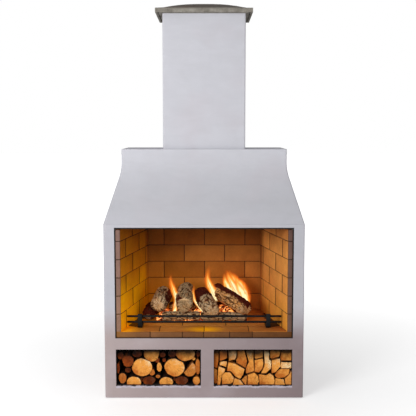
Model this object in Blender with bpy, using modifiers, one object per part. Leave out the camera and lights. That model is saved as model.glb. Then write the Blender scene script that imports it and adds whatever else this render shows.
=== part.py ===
"""An outdoor fireplace of cast blocks under a render coat, with its firebrick lining and its firewood.

A base with two log stores carries a splayed firebox. A tapered hood gathers the smoke into a lined
chimney under a domed cap. A loose guard keeps the burning logs on the hearth.
Metres, +Z up. The origin is on the ground below the middle of the body, and the front faces -Y.
"""

import math

import bmesh
import bpy
from mathutils import Matrix, Vector
from mathutils.bvhtree import BVHTree

# Clearances that all pieces share
GAP = 0.0003  # between pieces that touch
OVERRUN = 0.003  # how far a cutter passes the face that it opens
WELD = 0.00001  # points this close are one
SHARP_ANGLE = math.radians(40)

# Body and its render coat
BODY_WIDTH = 1.118
BODY_DEPTH = 0.650
COAT_THICKNESS = 0.012
COAT_FOOT = 0.004  # the coat stops this far above the ground
CORNER_RADIUS = 0.008
CORNER_STEPS = 3

# Log store in the base
BASE_SLAB_HEIGHT = 0.072
STORE_HEIGHT = 0.210
STORE_SIDE_WIDTH = 0.062  # from the face of the body to the store
DIVIDER_WIDTH = 0.072
DIVIDER_OFFSET = 0.018  # the divider stands right of the middle
STORE_BACK_THICKNESS = 0.060
HEARTH_SLAB_HEIGHT = 0.067

# Firebox
PILLAR_WIDTH = 0.064  # from the side of the body to the opening
OPENING_HEIGHT = 0.616
BACK_BLOCK_THICKNESS = 0.0507
SPLAY_INSET = 0.1465  # from the edge of the opening in to the edge of the brick face at the back
LINING_THICKNESS = 0.028
LINING_SETBACK = 0.006
LINTEL_JOINT = 0.006  # open joint above the lining
HEARTH_BRICK_HEIGHT = 0.032
HEARTH_BRICK_DEPTH = 0.150
BRICK_LENGTH = 0.250
COURSE_HEIGHT = 0.100
BRICK_JOINT = 0.003
JOINT_DEPTH = 0.003
SHORTEST_BRICK = 0.020
SIDE_FIRST_JOINT = 0.100  # first upright joint of a side course, from the front

# Hood
LINTEL_FACE = 0.025  # upright face between the opening and the slope
LINTEL_HEIGHT = 0.090
LINTEL_DEPTH = 0.100
TAPER_HEIGHT = 0.296
COLLAR_HEIGHT = 0.116
HOOD_TOP_WIDTH = 0.932
HOOD_TOP_DEPTH = 0.420
HOOD_WALL = 0.060
NECK_BLEND = 0.045  # half the height of the soft bend below and above the neck
NECK_STEPS = 4
SMOKE_SLAB_HEIGHT = 0.045

# Chimney
CHIMNEY_WIDTH = 0.465
CHIMNEY_DEPTH = 0.366
CHIMNEY_HEIGHT = 0.754
CHIMNEY_BLOCKS = 3
FLUE_RADIUS = 0.110
LINER_WALL = 0.014
LINER_CLEARANCE = 0.003
LINER_LIP_HEIGHT = 0.012
LINER_SIDES = 28
OUTLET_WIDTH = 0.190
OUTLET_HEIGHT = 0.120
OUTLET_COVER = 0.030  # block left above a smoke outlet

# Cap
CAP_OVERHANG = 0.038
CAP_EDGE = 0.024
CAP_RISE = 0.042
CAP_CELLS = 12
DOME_POWER = 3  # how flat the dome is in its middle
DRIP_INSET = 0.012
DRIP_WIDTH = 0.008
DRIP_DEPTH = 0.006

# Log guard
GUARD_SETBACK = 0.090
GUARD_CLEARANCE = 0.003  # rail end to the side lining
RAIL_RADIUS = 0.0062
LOWER_RAIL_HEIGHT = 0.034
TOP_RAIL_HEIGHT = 0.067
UPRIGHT_HEIGHT = 0.082
UPRIGHT_WIDTH = 0.025
UPRIGHT_THICKNESS = 0.006
RAIL_OVERHANG = 0.0747  # how far a rail runs past the middle of its upright
FOOT_LENGTH = 0.110
FOOT_BEND_RADIUS = 0.014
BEND_STEPS = 5

# Burning logs
FIRE_LOG_ROOM = 0.059  # free depth behind the guard beyond a log's length
FIRE_LOG_RADIUS = 0.050
FIRE_LOG_SIDES = 14
FIRE_LOG_RINGS = 5
BARK_WAVES = (2, 3, 5)  # swellings round a log, and how far each kind stands out
BARK_SWELL_SHARES = (0.045, 0.030, 0.020)
LOG_TAPER_SHARE = 0.10
LOG_BEND_SHARE = 0.06
SETTLE_STEPS = 18

# Stored logs
STORED_LOG_LENGTH = 0.330
STACK_FRONT = 0.016  # face of the body to the nearest log ends
STACK_STAGGER = 0.014  # the most that a log end stands further in
STACK_HEADROOM = 0.018  # free height above a full stack
ROUND_LOG_SIDES = 12
STACK_SIDE_ROOM = 0.002  # free width beside a full stack
SHORTEST_SPLIT_SIDE = 0.002
# Sizes of a stored log's ends and of its middle, as shares of its own: its middle is a little full,
# so that it presses on its neighbours
ROUND_END_SHARE = 0.985
ROUND_MIDDLE_SHARE = 1.05
SPLIT_END_SHARE = 0.95
SPLIT_MIDDLE_SHARE = 1.02

# Levels, from the ground up
STORE_TOP = BASE_SLAB_HEIGHT + STORE_HEIGHT
HEARTH_LEVEL = STORE_TOP + HEARTH_SLAB_HEIGHT
FLOOR_LEVEL = HEARTH_LEVEL + HEARTH_BRICK_HEIGHT
OPENING_TOP = HEARTH_LEVEL + OPENING_HEIGHT
LINING_TOP = OPENING_TOP - LINTEL_JOINT
SHOULDER = OPENING_TOP + LINTEL_FACE
LINTEL_TOP = OPENING_TOP + LINTEL_HEIGHT
NECK = SHOULDER + TAPER_HEIGHT
HOOD_TOP = NECK + COLLAR_HEIGHT
CORE_TOP = HOOD_TOP - COAT_THICKNESS
CHIMNEY_TOP = HOOD_TOP + CHIMNEY_HEIGHT
BLOCK_HEIGHT = (CHIMNEY_TOP - CORE_TOP) / CHIMNEY_BLOCKS
OUTLET_TOP = CHIMNEY_TOP - OUTLET_COVER
OUTLET_SILL = OUTLET_TOP - OUTLET_HEIGHT

# Plan, from the middle out
HALF_WIDTH = BODY_WIDTH / 2
HALF_DEPTH = BODY_DEPTH / 2
CORE_HALF_WIDTH = HALF_WIDTH - COAT_THICKNESS
CORE_HALF_DEPTH = HALF_DEPTH - COAT_THICKNESS
STORE_HALF_WIDTH = HALF_WIDTH - STORE_SIDE_WIDTH
DIVIDER_LEFT = DIVIDER_OFFSET - DIVIDER_WIDTH / 2
DIVIDER_RIGHT = DIVIDER_OFFSET + DIVIDER_WIDTH / 2
STORE_BACK = CORE_HALF_DEPTH - STORE_BACK_THICKNESS
OPENING_WIDTH = BODY_WIDTH - 2 * PILLAR_WIDTH
BACK_FACE_WIDTH = OPENING_WIDTH - 2 * SPLAY_INSET
LINING_FRONT = LINING_SETBACK - HALF_DEPTH
BACK_BLOCK_FACE = CORE_HALF_DEPTH - BACK_BLOCK_THICKNESS
BACK_FACE = BACK_BLOCK_FACE - GAP - LINING_THICKNESS
FIREBOX_DEPTH = BACK_FACE + HALF_DEPTH  # front face of the body to the brick face at the back
SIDE_FACE_FRONT = OPENING_WIDTH / 2 - LINING_THICKNESS - GAP
SPLAY = (SIDE_FACE_FRONT - BACK_FACE_WIDTH / 2) / (BACK_FACE - LINING_FRONT)
CORE_CHIMNEY_HALF_WIDTH = CHIMNEY_WIDTH / 2 - COAT_THICKNESS
CORE_CHIMNEY_HALF_DEPTH = CHIMNEY_DEPTH / 2 - COAT_THICKNESS
GUARD_FACE = GUARD_SETBACK - HALF_DEPTH
RAIL_AXIS = GUARD_FACE + UPRIGHT_THICKNESS + GAP + RAIL_RADIUS
RAIL_REAR = RAIL_AXIS + RAIL_RADIUS
RAIL_HALF_LENGTH = SIDE_FACE_FRONT - SPLAY * (RAIL_REAR - LINING_FRONT) - GUARD_CLEARANCE
UPRIGHT_SPACING = 2 * (RAIL_HALF_LENGTH - RAIL_OVERHANG)
FIRE_LOG_LENGTH = FIREBOX_DEPTH - GUARD_SETBACK - FOOT_LENGTH - FIRE_LOG_ROOM
STACK_FACE = STACK_FRONT - HALF_DEPTH

# Round logs of the left store: those of the bottom row, each with its place and its radius, and those
# that nest on the two logs whose numbers they name, each with its radius, as shares of the stack's size
BOTTOM_LOG_SHARES = (
    (0.144, 0.124), (0.475, 0.149), (0.916, 0.153), (1.381, 0.149), (1.802, 0.153), (2.233, 0.124),
)  # fmt: skip
NESTED_LOG_SHARES = (
    (1, 2, 0.272), (3, 4, 0.272), (0, 1, 0.099), (2, 3, 0.119), (8, 6, 0.163), (6, 7, 0.203),
    (4, 5, 0.173), (7, 12, 0.163), (9, 7, 0.059), (12, 5, 0.064), (10, 6, 0.109), (13, 12, 0.069),
    (13, 17, 0.064),
)  # fmt: skip
STACK_TO_STORE_SHARE = 0.4217  # the stack's size as a share of the store's width, where that is less

# Split logs of the right store: the middle of each end, as shares of the stack's width and height
SPLIT_LOG_SHARES = (
    (0.035, 0.72), (0.026, 0.29), (0.11, 0.78), (0.094, 0.41), (0.177, 0.20), (0.23, 0.80),
    (0.35, 0.70), (0.275, 0.44), (0.343, 0.136), (0.50, 0.153), (0.48, 0.61), (0.57, 0.83),
    (0.57, 0.47), (0.705, 0.56), (0.78, 0.84), (0.80, 0.58), (0.857, 0.305), (0.925, 0.81),
    (0.917, 0.56), (0.96, 0.20), (0.69, 0.136), (0.834, 0.085),
)  # fmt: skip

# Burning logs, those that lie on the hearth first and then those that lean on them. Each has its
# place as shares of half the back's width and of the firebox's depth, then its length as a share of
# the hearth's span its way and its radius as a share of the usual log's, and then its heading and its
# tilt in degrees.
FIRE_LOG_SHARES = {
    "fire_log_front_left": (-0.395, 0.474, 0.645, 0.54, 2, 0),
    "fire_log_front_right": (0.333, 0.474, 0.792, 0.52, -3, 0),
    "fire_log_back": (0, 0.733, 1.248, 0.80, 1, 0),
    "fire_log_far_left": (-0.925, 0.600, 0.598, 0.80, -97, 0),
    "fire_log_left": (-0.742, 0.590, 0.590, 1.00, -100, 12),
    "fire_log_middle": (-0.339, 0.600, 0.700, 0.96, -90, 12),
    "fire_log_charred": (0.030, 0.546, 0.856, 0.88, -72, 15),
    "fire_log_right": (0.460, 0.590, 0.938, 0.88, -51, 13),
}

SHADES = {
    "pumice_block": ("#8f8b87", 0.95, 0),
    "render_coat": ("#c4c1c6", 0.88, 0),
    "firebrick": ("#9a6a3c", 0.85, 0),
    "clay_liner": ("#a2623f", 0.80, 0),
    "cast_cap": ("#7d766d", 0.90, 0),
    "black_steel": ("#17181a", 0.50, 1),
    "charred_wood": ("#6b5c50", 0.92, 0),
    "round_firewood": ("#c98b4a", 0.85, 0),
    "split_firewood": ("#d59f5f", 0.85, 0),
}


def cleared_scene():
    """Removes what the scene holds and returns the collections of the pieces and of the cutters."""
    for old in list(bpy.data.objects):
        bpy.data.objects.remove(old)
    pieces = bpy.data.collections.new("outdoor_fireplace")
    cutters = bpy.data.collections.new("cutters")
    cutters.hide_render = True
    for group in (pieces, cutters):
        bpy.context.scene.collection.children.link(group)
    return pieces, cutters


PIECES, CUTTERS = cleared_scene()


def linear(channel):
    """One sRGB channel, from zero to one, as linear light."""
    return channel / 12.92 if channel <= 0.04045 else ((channel + 0.055) / 1.055) ** 2.4


def finish_of(name):
    """The named finish, made on its first use."""
    if name in bpy.data.materials:
        return bpy.data.materials[name]
    shade, roughness, metallic = SHADES[name]
    material = bpy.data.materials.new(name)
    material.use_nodes = True
    shader = material.node_tree.nodes["Principled BSDF"]
    channels = [int(shade[at : at + 2], 16) / 255 for at in (1, 3, 5)]
    shader.inputs["Base Color"].default_value = (*map(linear, channels), 1)
    shader.inputs["Roughness"].default_value = roughness
    shader.inputs["Metallic"].default_value = metallic
    return material


def add_piece(name, data, place, finish):
    """Puts a mesh or a curve in the scene as a named piece."""
    piece = bpy.data.objects.new(name, data)
    piece.location = place
    data.materials.append(finish_of(finish))
    PIECES.objects.link(piece)
    return piece


def add_cutter(name, mesh, place=(0, 0, 0), group=None):
    """Puts a mesh in the scene as a helper that no render shows."""
    helper = bpy.data.objects.new(name, mesh)
    helper.location = place
    helper.hide_render = True
    helper.display_type = "WIRE"
    (group or CUTTERS).objects.link(helper)
    return helper


def combine(piece, helper, operation="DIFFERENCE"):
    """Adds a Boolean that cuts, joins or meets the piece with the helper."""
    change = piece.modifiers.new(helper.name, "BOOLEAN")
    change.operation = operation
    change.object = helper


def mesh_from(shape, name, smooth=False):
    """Turns an edited shape into a mesh whose faces point outwards."""
    shape.normal_update()
    bmesh.ops.recalc_face_normals(shape, faces=shape.faces)
    mesh = bpy.data.meshes.new(name)
    shape.to_mesh(mesh)
    shape.free()
    mesh.shade_flat()
    if smooth:
        mesh.shade_smooth()
        mesh.set_sharp_from_angle(angle=SHARP_ANGLE)
    return mesh


def box_mesh(name, size):
    """A box about its own middle."""
    shape = bmesh.new()
    bmesh.ops.create_cube(shape, size=1)
    bmesh.ops.scale(shape, vec=size, verts=shape.verts)
    return mesh_from(shape, name)


def middle_and_size(low, high):
    low, high = Vector(low), Vector(high)
    return (low + high) / 2, high - low


def add_block(name, low, high, finish="pumice_block"):
    """A rectangular block between two corners."""
    middle, size = middle_and_size(low, high)
    return add_piece(name, box_mesh(name, size), middle, finish)


def add_box_cutter(name, low, high):
    """A rectangular cutter between two corners."""
    middle, size = middle_and_size(low, high)
    return add_cutter(name, box_mesh(name, size), middle)


def stepped_mesh(name, sections, corner_radius=0):
    """A block whose rectangular section changes as it rises.

    Each section is a level, half a width and half a depth.
    """
    shape = bmesh.new()
    bmesh.ops.create_cube(shape, size=1)
    for corner in shape.verts:
        level, half_width, half_depth = sections[0] if corner.co.z < 0 else sections[1]
        corner.co.x = math.copysign(half_width, corner.co.x)
        corner.co.y = math.copysign(half_depth, corner.co.y)
        corner.co.z = level
    lid = max(shape.faces, key=lambda face: face.calc_center_median().z)
    for level, half_width, half_depth in sections[2:]:
        grown = bmesh.ops.extrude_face_region(shape, geom=[lid])["geom"]
        bmesh.ops.delete(shape, geom=[lid], context="FACES_ONLY")
        lid = next(part for part in grown if isinstance(part, bmesh.types.BMFace))
        for corner in lid.verts:
            corner.co.x = math.copysign(half_width, corner.co.x)
            corner.co.y = math.copysign(half_depth, corner.co.y)
            corner.co.z = level
    if corner_radius:
        upright = [edge for edge in shape.edges if edge.verts[0].co.z != edge.verts[1].co.z]
        bmesh.ops.bevel(
            shape, geom=upright, offset=corner_radius, segments=CORNER_STEPS, profile=0.5, affect="EDGES"
        )
    return mesh_from(shape, name)


def outline_mesh(outline, height):
    """A flat outline, filled as a 2D curve and given a height from zero up."""
    curve = bpy.data.curves.new("outline", "CURVE")
    curve.dimensions = "2D"
    curve.fill_mode = "BOTH"
    curve.extrude = height / 2
    spline = curve.splines.new("POLY")
    spline.points.add(len(outline) - 1)
    spline.use_cyclic_u = True
    for point, (across, along) in zip(spline.points, outline):
        point.co = (across, along, 0, 1)
    drawn = bpy.data.objects.new("outline", curve)
    PIECES.objects.link(drawn)
    graph = bpy.context.evaluated_depsgraph_get()
    mesh = bpy.data.meshes.new_from_object(drawn.evaluated_get(graph))
    bpy.data.objects.remove(drawn)
    bpy.data.curves.remove(curve)
    shape = bmesh.new()
    shape.from_mesh(mesh)
    bpy.data.meshes.remove(mesh)
    bmesh.ops.remove_doubles(shape, verts=shape.verts, dist=WELD)
    bmesh.ops.translate(shape, verts=shape.verts, vec=(0, 0, height / 2))
    return mesh_from(shape, "outline")


def add_turned(name, profile, sides, place, finish):
    """A ring turned about Z from a closed profile that runs down its outer side."""
    shape = bmesh.new()
    corners = [shape.verts.new((radius, 0, level)) for radius, level in profile]
    for pair in zip(corners, corners[1:] + corners[:1]):
        shape.edges.new(pair)
    mesh = bpy.data.meshes.new(name)
    shape.to_mesh(mesh)
    shape.free()
    piece = add_piece(name, mesh, place, finish)
    turning = piece.modifiers.new("turned", "SCREW")
    turning.steps = turning.render_steps = sides
    turning.use_smooth_shade = True
    return piece


def side_face(depth_place):
    """How far from the middle the side lining's brick face stands at a place front to back."""
    return SIDE_FACE_FRONT - SPLAY * (depth_place - LINING_FRONT)


def block_face(depth_place):
    """How far from the middle the side block's inner face stands at a place front to back."""
    return side_face(depth_place) + LINING_THICKNESS + GAP


def make_base():
    """The slab, the walls and the divider of the log store, and the hearth slab over them."""
    low, high = BASE_SLAB_HEIGHT + GAP, STORE_TOP - GAP
    add_block(
        "base_slab",
        (-CORE_HALF_WIDTH, -CORE_HALF_DEPTH, 0),
        (CORE_HALF_WIDTH, CORE_HALF_DEPTH, BASE_SLAB_HEIGHT),
    )
    walls = {
        "store_left_wall": (-CORE_HALF_WIDTH, -STORE_HALF_WIDTH, CORE_HALF_DEPTH),
        "store_right_wall": (STORE_HALF_WIDTH, CORE_HALF_WIDTH, CORE_HALF_DEPTH),
        "store_divider": (DIVIDER_LEFT, DIVIDER_RIGHT, STORE_BACK - GAP),
    }
    for name, (left, right, rear) in walls.items():
        add_block(name, (left, -CORE_HALF_DEPTH, low), (right, rear, high))
    inside = STORE_HALF_WIDTH - GAP
    add_block("store_back_wall", (-inside, STORE_BACK, low), (inside, CORE_HALF_DEPTH, high))
    add_block(
        "hearth_slab",
        (-CORE_HALF_WIDTH, -CORE_HALF_DEPTH, STORE_TOP),
        (CORE_HALF_WIDTH, CORE_HALF_DEPTH, HEARTH_LEVEL),
    )


def make_firebox_walls():
    """Two side blocks with splayed inner faces, and the back block between them."""
    height = OPENING_HEIGHT - GAP - GAP
    recess = block_face(BACK_BLOCK_FACE)
    outline = (
        (CORE_HALF_WIDTH, -CORE_HALF_DEPTH),
        (CORE_HALF_WIDTH, CORE_HALF_DEPTH),
        (recess, CORE_HALF_DEPTH),
        (recess, BACK_BLOCK_FACE),
        (block_face(-CORE_HALF_DEPTH), -CORE_HALF_DEPTH),
    )
    for name, side in (("firebox_left_wall", -1), ("firebox_right_wall", 1)):
        mesh = outline_mesh([(side * across, along) for across, along in outline], height)
        add_piece(name, mesh, (0, 0, HEARTH_LEVEL + GAP), "pumice_block")
    add_block(
        "firebox_back_wall",
        (GAP - recess, BACK_BLOCK_FACE, HEARTH_LEVEL + GAP),
        (recess - GAP, CORE_HALF_DEPTH, OPENING_TOP - GAP),
    )


def bond_joints(length, first):
    """Where the joints of one course fall, at a brick's step either way from the first."""
    step = BRICK_LENGTH + BRICK_JOINT
    reach = math.ceil(length / step)
    places = [first + count * step for count in range(-reach, reach + 1)]
    return [place for place in places if SHORTEST_BRICK < place < length - SHORTEST_BRICK]


def add_course(name, length, thickness, height, first_joint, bedded, place, directions):
    """A row of bricks on its own side of a mortar bed, with raked joints.

    The three directions are those along the row, in from its face and across its bed.
    """
    outline = [(0, thickness), (0, 0)]
    for joint in bond_joints(length, first_joint):
        left, right = joint - BRICK_JOINT / 2, joint + BRICK_JOINT / 2
        outline += [(left, 0), (left, JOINT_DEPTH), (right, JOINT_DEPTH), (right, 0)]
    outline += [(length, 0), (length, thickness)]
    placing = Matrix(directions).transposed().to_4x4()
    bricks = outline_mesh(outline, height)
    parts = [bricks]
    if bedded:
        middle, size = middle_and_size(
            (JOINT_DEPTH, JOINT_DEPTH, height - OVERRUN),
            (length - JOINT_DEPTH, thickness - JOINT_DEPTH, height + BRICK_JOINT - GAP),
        )
        bed = box_mesh(name + "_bed", size)
        bed.transform(Matrix.Translation(middle))
        parts.append(bed)
    for part in parts:
        part.transform(placing)
        if placing.determinant() < 0:
            part.flip_normals()
    course = add_piece(name, bricks, place, "firebrick")
    if bedded:
        combine(course, add_cutter(name + "_bed", bed, place), "UNION")
    return course


def courses(total, size):
    """The rows that fill a total: each one's start, its size, and whether another lies on it."""
    step = size + BRICK_JOINT
    count = math.ceil((total - SHORTEST_BRICK) / step)
    for row in range(count):
        last = row == count - 1
        yield row, row * step, total - row * step if last else size, not last


def make_hearth_bricks():
    """Rows of bricks laid flat, front to back, trimmed to the splay of the side blocks."""
    front, rear = LINING_FRONT, BACK_BLOCK_FACE - GAP
    plan = [
        (block_face(front) - GAP, front),
        (block_face(rear) - GAP, rear),
        (GAP - block_face(rear), rear),
        (GAP - block_face(front), front),
    ]
    trim_mesh = outline_mesh(plan, HEARTH_BRICK_HEIGHT + OVERRUN + OVERRUN)
    trim = add_cutter("hearth_plan", trim_mesh, (0, 0, HEARTH_LEVEL - OVERRUN))
    half = OPENING_WIDTH / 2 + OVERRUN
    along_in_across = ((1, 0, 0), (0, 0, -1), (0, 1, 0))
    for row, start, size, bedded in courses(rear - front, HEARTH_BRICK_DEPTH):
        first = half + (row % 2) * (BRICK_LENGTH + BRICK_JOINT) / 2
        course = add_course(
            f"hearth_brick_row_{row + 1}",
            2 * half,
            HEARTH_BRICK_HEIGHT - GAP,
            size,
            first,
            bedded,
            (-half, front + start, FLOOR_LEVEL),
            along_in_across,
        )
        combine(course, trim, "INTERSECT")


def make_lining():
    """The firebrick lining: courses across the back and along both splayed sides."""
    base = FLOOR_LEVEL + GAP
    length = 2 * (block_face(BACK_BLOCK_FACE) - GAP)
    side_length = BACK_FACE - GAP - LINING_FRONT
    half_step = (BRICK_LENGTH + BRICK_JOINT) / 2
    for row, start, size, bedded in courses(LINING_TOP - base, COURSE_HEIGHT):
        shift = (row % 2) * half_step
        add_course(
            f"back_lining_course_{row + 1}",
            length,
            LINING_THICKNESS,
            size,
            length / 2 + shift,
            bedded,
            (-length / 2, BACK_FACE, base + start),
            ((1, 0, 0), (0, 1, 0), (0, 0, 1)),
        )
        for hand, side in (("left", -1), ("right", 1)):
            add_course(
                f"{hand}_lining_course_{row + 1}",
                side_length,
                LINING_THICKNESS,
                size,
                SIDE_FIRST_JOINT + shift,
                bedded,
                (side * SIDE_FACE_FRONT, LINING_FRONT, base + start),
                ((-side * SPLAY, 1, 0), (side, 0, 0), (0, 0, 1)),
            )


def taper_share(level):
    """How much of the hood's taper is done at a level."""
    return min(max((level - SHOULDER) / TAPER_HEIGHT, 0), 1)


def soft_taper_share(level):
    """The same, with the soft bend that the render coat has at the neck."""
    above = level - (NECK - NECK_BLEND)
    if above <= 0 or level >= NECK + NECK_BLEND:
        return taper_share(level)
    left = NECK + NECK_BLEND - level
    return 1 - left * left / (4 * NECK_BLEND * TAPER_HEIGHT)


def hood_section(level, inset, share=taper_share):
    """A level of the hood with half its width and half its depth there, drawn in by an inset."""
    half_width = HALF_WIDTH - (BODY_WIDTH - HOOD_TOP_WIDTH) / 2 * share(level) - inset
    half_depth = HALF_DEPTH - (BODY_DEPTH - HOOD_TOP_DEPTH) / 2 * share(level) - inset
    return level, half_width, half_depth


def run_on(sections, below=0, above=0):
    """The same sections with the first carried on below it and the last above it."""
    start = (sections[0][0] - below, *sections[0][1:])
    end = (sections[-1][0] + above, *sections[-1][1:])
    return [start] * bool(below) + sections + [end] * bool(above)


def make_hood():
    """The lintel beam, and the hollow lower and upper blocks of the hood."""
    low = OPENING_TOP
    levels = (low, SHOULDER, NECK - GAP)
    lower_mesh = stepped_mesh("hood_lower", [hood_section(at, COAT_THICKNESS) for at in levels])
    lower = add_piece("hood_lower", lower_mesh, (0, 0, 0), "pumice_block")
    inner = COAT_THICKNESS + HOOD_WALL
    hollow = run_on([hood_section(at, inner) for at in (SHOULDER, NECK)], SHOULDER - low + OVERRUN, OVERRUN)
    combine(lower, add_cutter("hood_throat", stepped_mesh("hood_throat", hollow)))

    beam_levels = (low, SHOULDER, LINTEL_TOP)
    beam_mesh = stepped_mesh("lintel_beam", [hood_section(at, COAT_THICKNESS) for at in beam_levels])
    beam = add_piece("lintel_beam", beam_mesh, (0, 0, 0), "pumice_block")
    reach, front = HALF_WIDTH + OVERRUN, -HALF_DEPTH - OVERRUN
    rear = LINTEL_DEPTH - CORE_HALF_DEPTH
    bearing = add_box_cutter(
        "lintel_bearing", (-reach, front, low - OVERRUN), (reach, rear, LINTEL_TOP + OVERRUN)
    )
    combine(beam, bearing, "INTERSECT")
    seat = add_box_cutter(
        "lintel_seat", (-reach, front, low - OVERRUN), (reach, rear + GAP, LINTEL_TOP + GAP)
    )
    combine(lower, seat)

    _, half_width, half_depth = hood_section(NECK, COAT_THICKNESS)
    upper = add_block("hood_upper", (-half_width, -half_depth, NECK), (half_width, half_depth, CORE_TOP))
    _, half_width, half_depth = hood_section(NECK, inner)
    ceiling = CORE_TOP - SMOKE_SLAB_HEIGHT
    chamber = add_box_cutter(
        "smoke_chamber", (-half_width, -half_depth, NECK - OVERRUN), (half_width, half_depth, ceiling)
    )
    combine(upper, chamber)
    combine(upper, round_cutter("flue_hole", FLUE_RADIUS, ceiling - OVERRUN, CORE_TOP + OVERRUN))


def round_cutter(name, radius, low, high):
    """A round upright cutter about the flue."""
    shape = bmesh.new()
    bmesh.ops.create_cone(
        shape, cap_ends=True, segments=LINER_SIDES, radius1=radius, radius2=radius, depth=high - low
    )
    return add_cutter(name, mesh_from(shape, name), (0, 0, (low + high) / 2))


def make_chimney():
    """Bored blocks with round liners that seat in each other, and an outlet at each side on top."""
    half_width, half_depth = CORE_CHIMNEY_HALF_WIDTH, CORE_CHIMNEY_HALF_DEPTH
    outer = FLUE_RADIUS + LINER_WALL
    bore = round_cutter("chimney_bore", outer + LINER_CLEARANCE, CORE_TOP - OVERRUN, CHIMNEY_TOP + OVERRUN)
    outlet = add_box_cutter(
        "smoke_outlet",
        (-HALF_WIDTH, -OUTLET_WIDTH / 2, OUTLET_SILL),
        (HALF_WIDTH, OUTLET_WIDTH / 2, OUTLET_TOP),
    )
    for number in range(CHIMNEY_BLOCKS):
        low = CORE_TOP + number * BLOCK_HEIGHT + GAP
        top = CORE_TOP + (number + 1) * BLOCK_HEIGHT
        block = add_block(
            f"chimney_block_{number + 1}", (-half_width, -half_depth, low), (half_width, half_depth, top)
        )
        combine(block, bore)
        if top > OUTLET_SILL:
            combine(block, outlet)
        liner_top = min(top, OUTLET_SILL)
        add_liner(f"flue_liner_{number + 1}", low, liner_top, number > 0, liner_top == top)
    return outlet


def add_liner(name, low, top, seated, lipped):
    """A clay flue liner, rebated below to sit on the one under it and lipped on top for the next."""
    outer, middle = FLUE_RADIUS + LINER_WALL, FLUE_RADIUS + LINER_WALL / 2
    height = top - low
    profile = [(outer, height), (outer, 0)]
    if seated:
        profile += [(middle + GAP, 0), (middle + GAP, LINER_LIP_HEIGHT), (FLUE_RADIUS, LINER_LIP_HEIGHT)]
    else:
        profile += [(FLUE_RADIUS, 0)]
    if lipped:
        lip = height + LINER_LIP_HEIGHT
        profile += [(FLUE_RADIUS, lip), (middle, lip), (middle, height)]
    else:
        profile += [(FLUE_RADIUS, height)]
    add_turned(name, profile, LINER_SIDES, (0, 0, low), "clay_liner")


def make_coats(outlet):
    """The render coat in three shells: round the body, over the hood and up the chimney."""
    inner_width, inner_depth = CORE_HALF_WIDTH + GAP, CORE_HALF_DEPTH + GAP
    sections = [(COAT_FOOT, HALF_WIDTH, HALF_DEPTH), (SHOULDER - GAP, HALF_WIDTH, HALF_DEPTH)]
    body_mesh = stepped_mesh("body_coat", sections, CORNER_RADIUS)
    body = add_piece("body_coat", body_mesh, (0, 0, 0), "render_coat")
    low, high = COAT_FOOT - OVERRUN, SHOULDER + OVERRUN
    combine(
        body,
        add_box_cutter("body_core", (-inner_width, -inner_depth, low), (inner_width, inner_depth, high)),
    )
    front, rear = -HALF_DEPTH - OVERRUN, OVERRUN - CORE_HALF_DEPTH
    openings = {
        "firebox_opening": (-OPENING_WIDTH / 2, OPENING_WIDTH / 2, HEARTH_LEVEL, OPENING_TOP),
        "left_store_opening": (-STORE_HALF_WIDTH, DIVIDER_LEFT, BASE_SLAB_HEIGHT, STORE_TOP),
        "right_store_opening": (DIVIDER_RIGHT, STORE_HALF_WIDTH, BASE_SLAB_HEIGHT, STORE_TOP),
    }
    for name, (left, right, sill, head) in openings.items():
        combine(body, add_box_cutter(name, (left, front, sill), (right, rear, head)))

    bend = [NECK + NECK_BLEND * (step / NECK_STEPS) for step in range(-NECK_STEPS, NECK_STEPS + 1)]
    outside = [hood_section(at, 0, soft_taper_share) for at in (SHOULDER, *bend, HOOD_TOP)]
    hood = add_piece(
        "hood_coat", stepped_mesh("hood_coat", outside, CORNER_RADIUS), (0, 0, 0), "render_coat"
    )
    core = [hood_section(at, COAT_THICKNESS - GAP) for at in (SHOULDER, NECK, CORE_TOP + GAP)]
    combine(hood, add_cutter("hood_core", stepped_mesh("hood_core", run_on(core, OVERRUN))))
    half_width, half_depth = CORE_CHIMNEY_HALF_WIDTH + GAP, CORE_CHIMNEY_HALF_DEPTH + GAP
    hole = add_box_cutter(
        "hood_hole",
        (-half_width, -half_depth, CORE_TOP - OVERRUN),
        (half_width, half_depth, HOOD_TOP + OVERRUN),
    )
    combine(hood, hole)

    low = HOOD_TOP + GAP
    sections = [(at, CHIMNEY_WIDTH / 2, CHIMNEY_DEPTH / 2) for at in (low, CHIMNEY_TOP)]
    coat_mesh = stepped_mesh("chimney_coat", sections, CORNER_RADIUS)
    coat = add_piece("chimney_coat", coat_mesh, (0, 0, 0), "render_coat")
    core = add_box_cutter(
        "chimney_core",
        (-half_width, -half_depth, low - OVERRUN),
        (half_width, half_depth, CHIMNEY_TOP + OVERRUN),
    )
    combine(coat, core)
    combine(coat, outlet)


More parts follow.
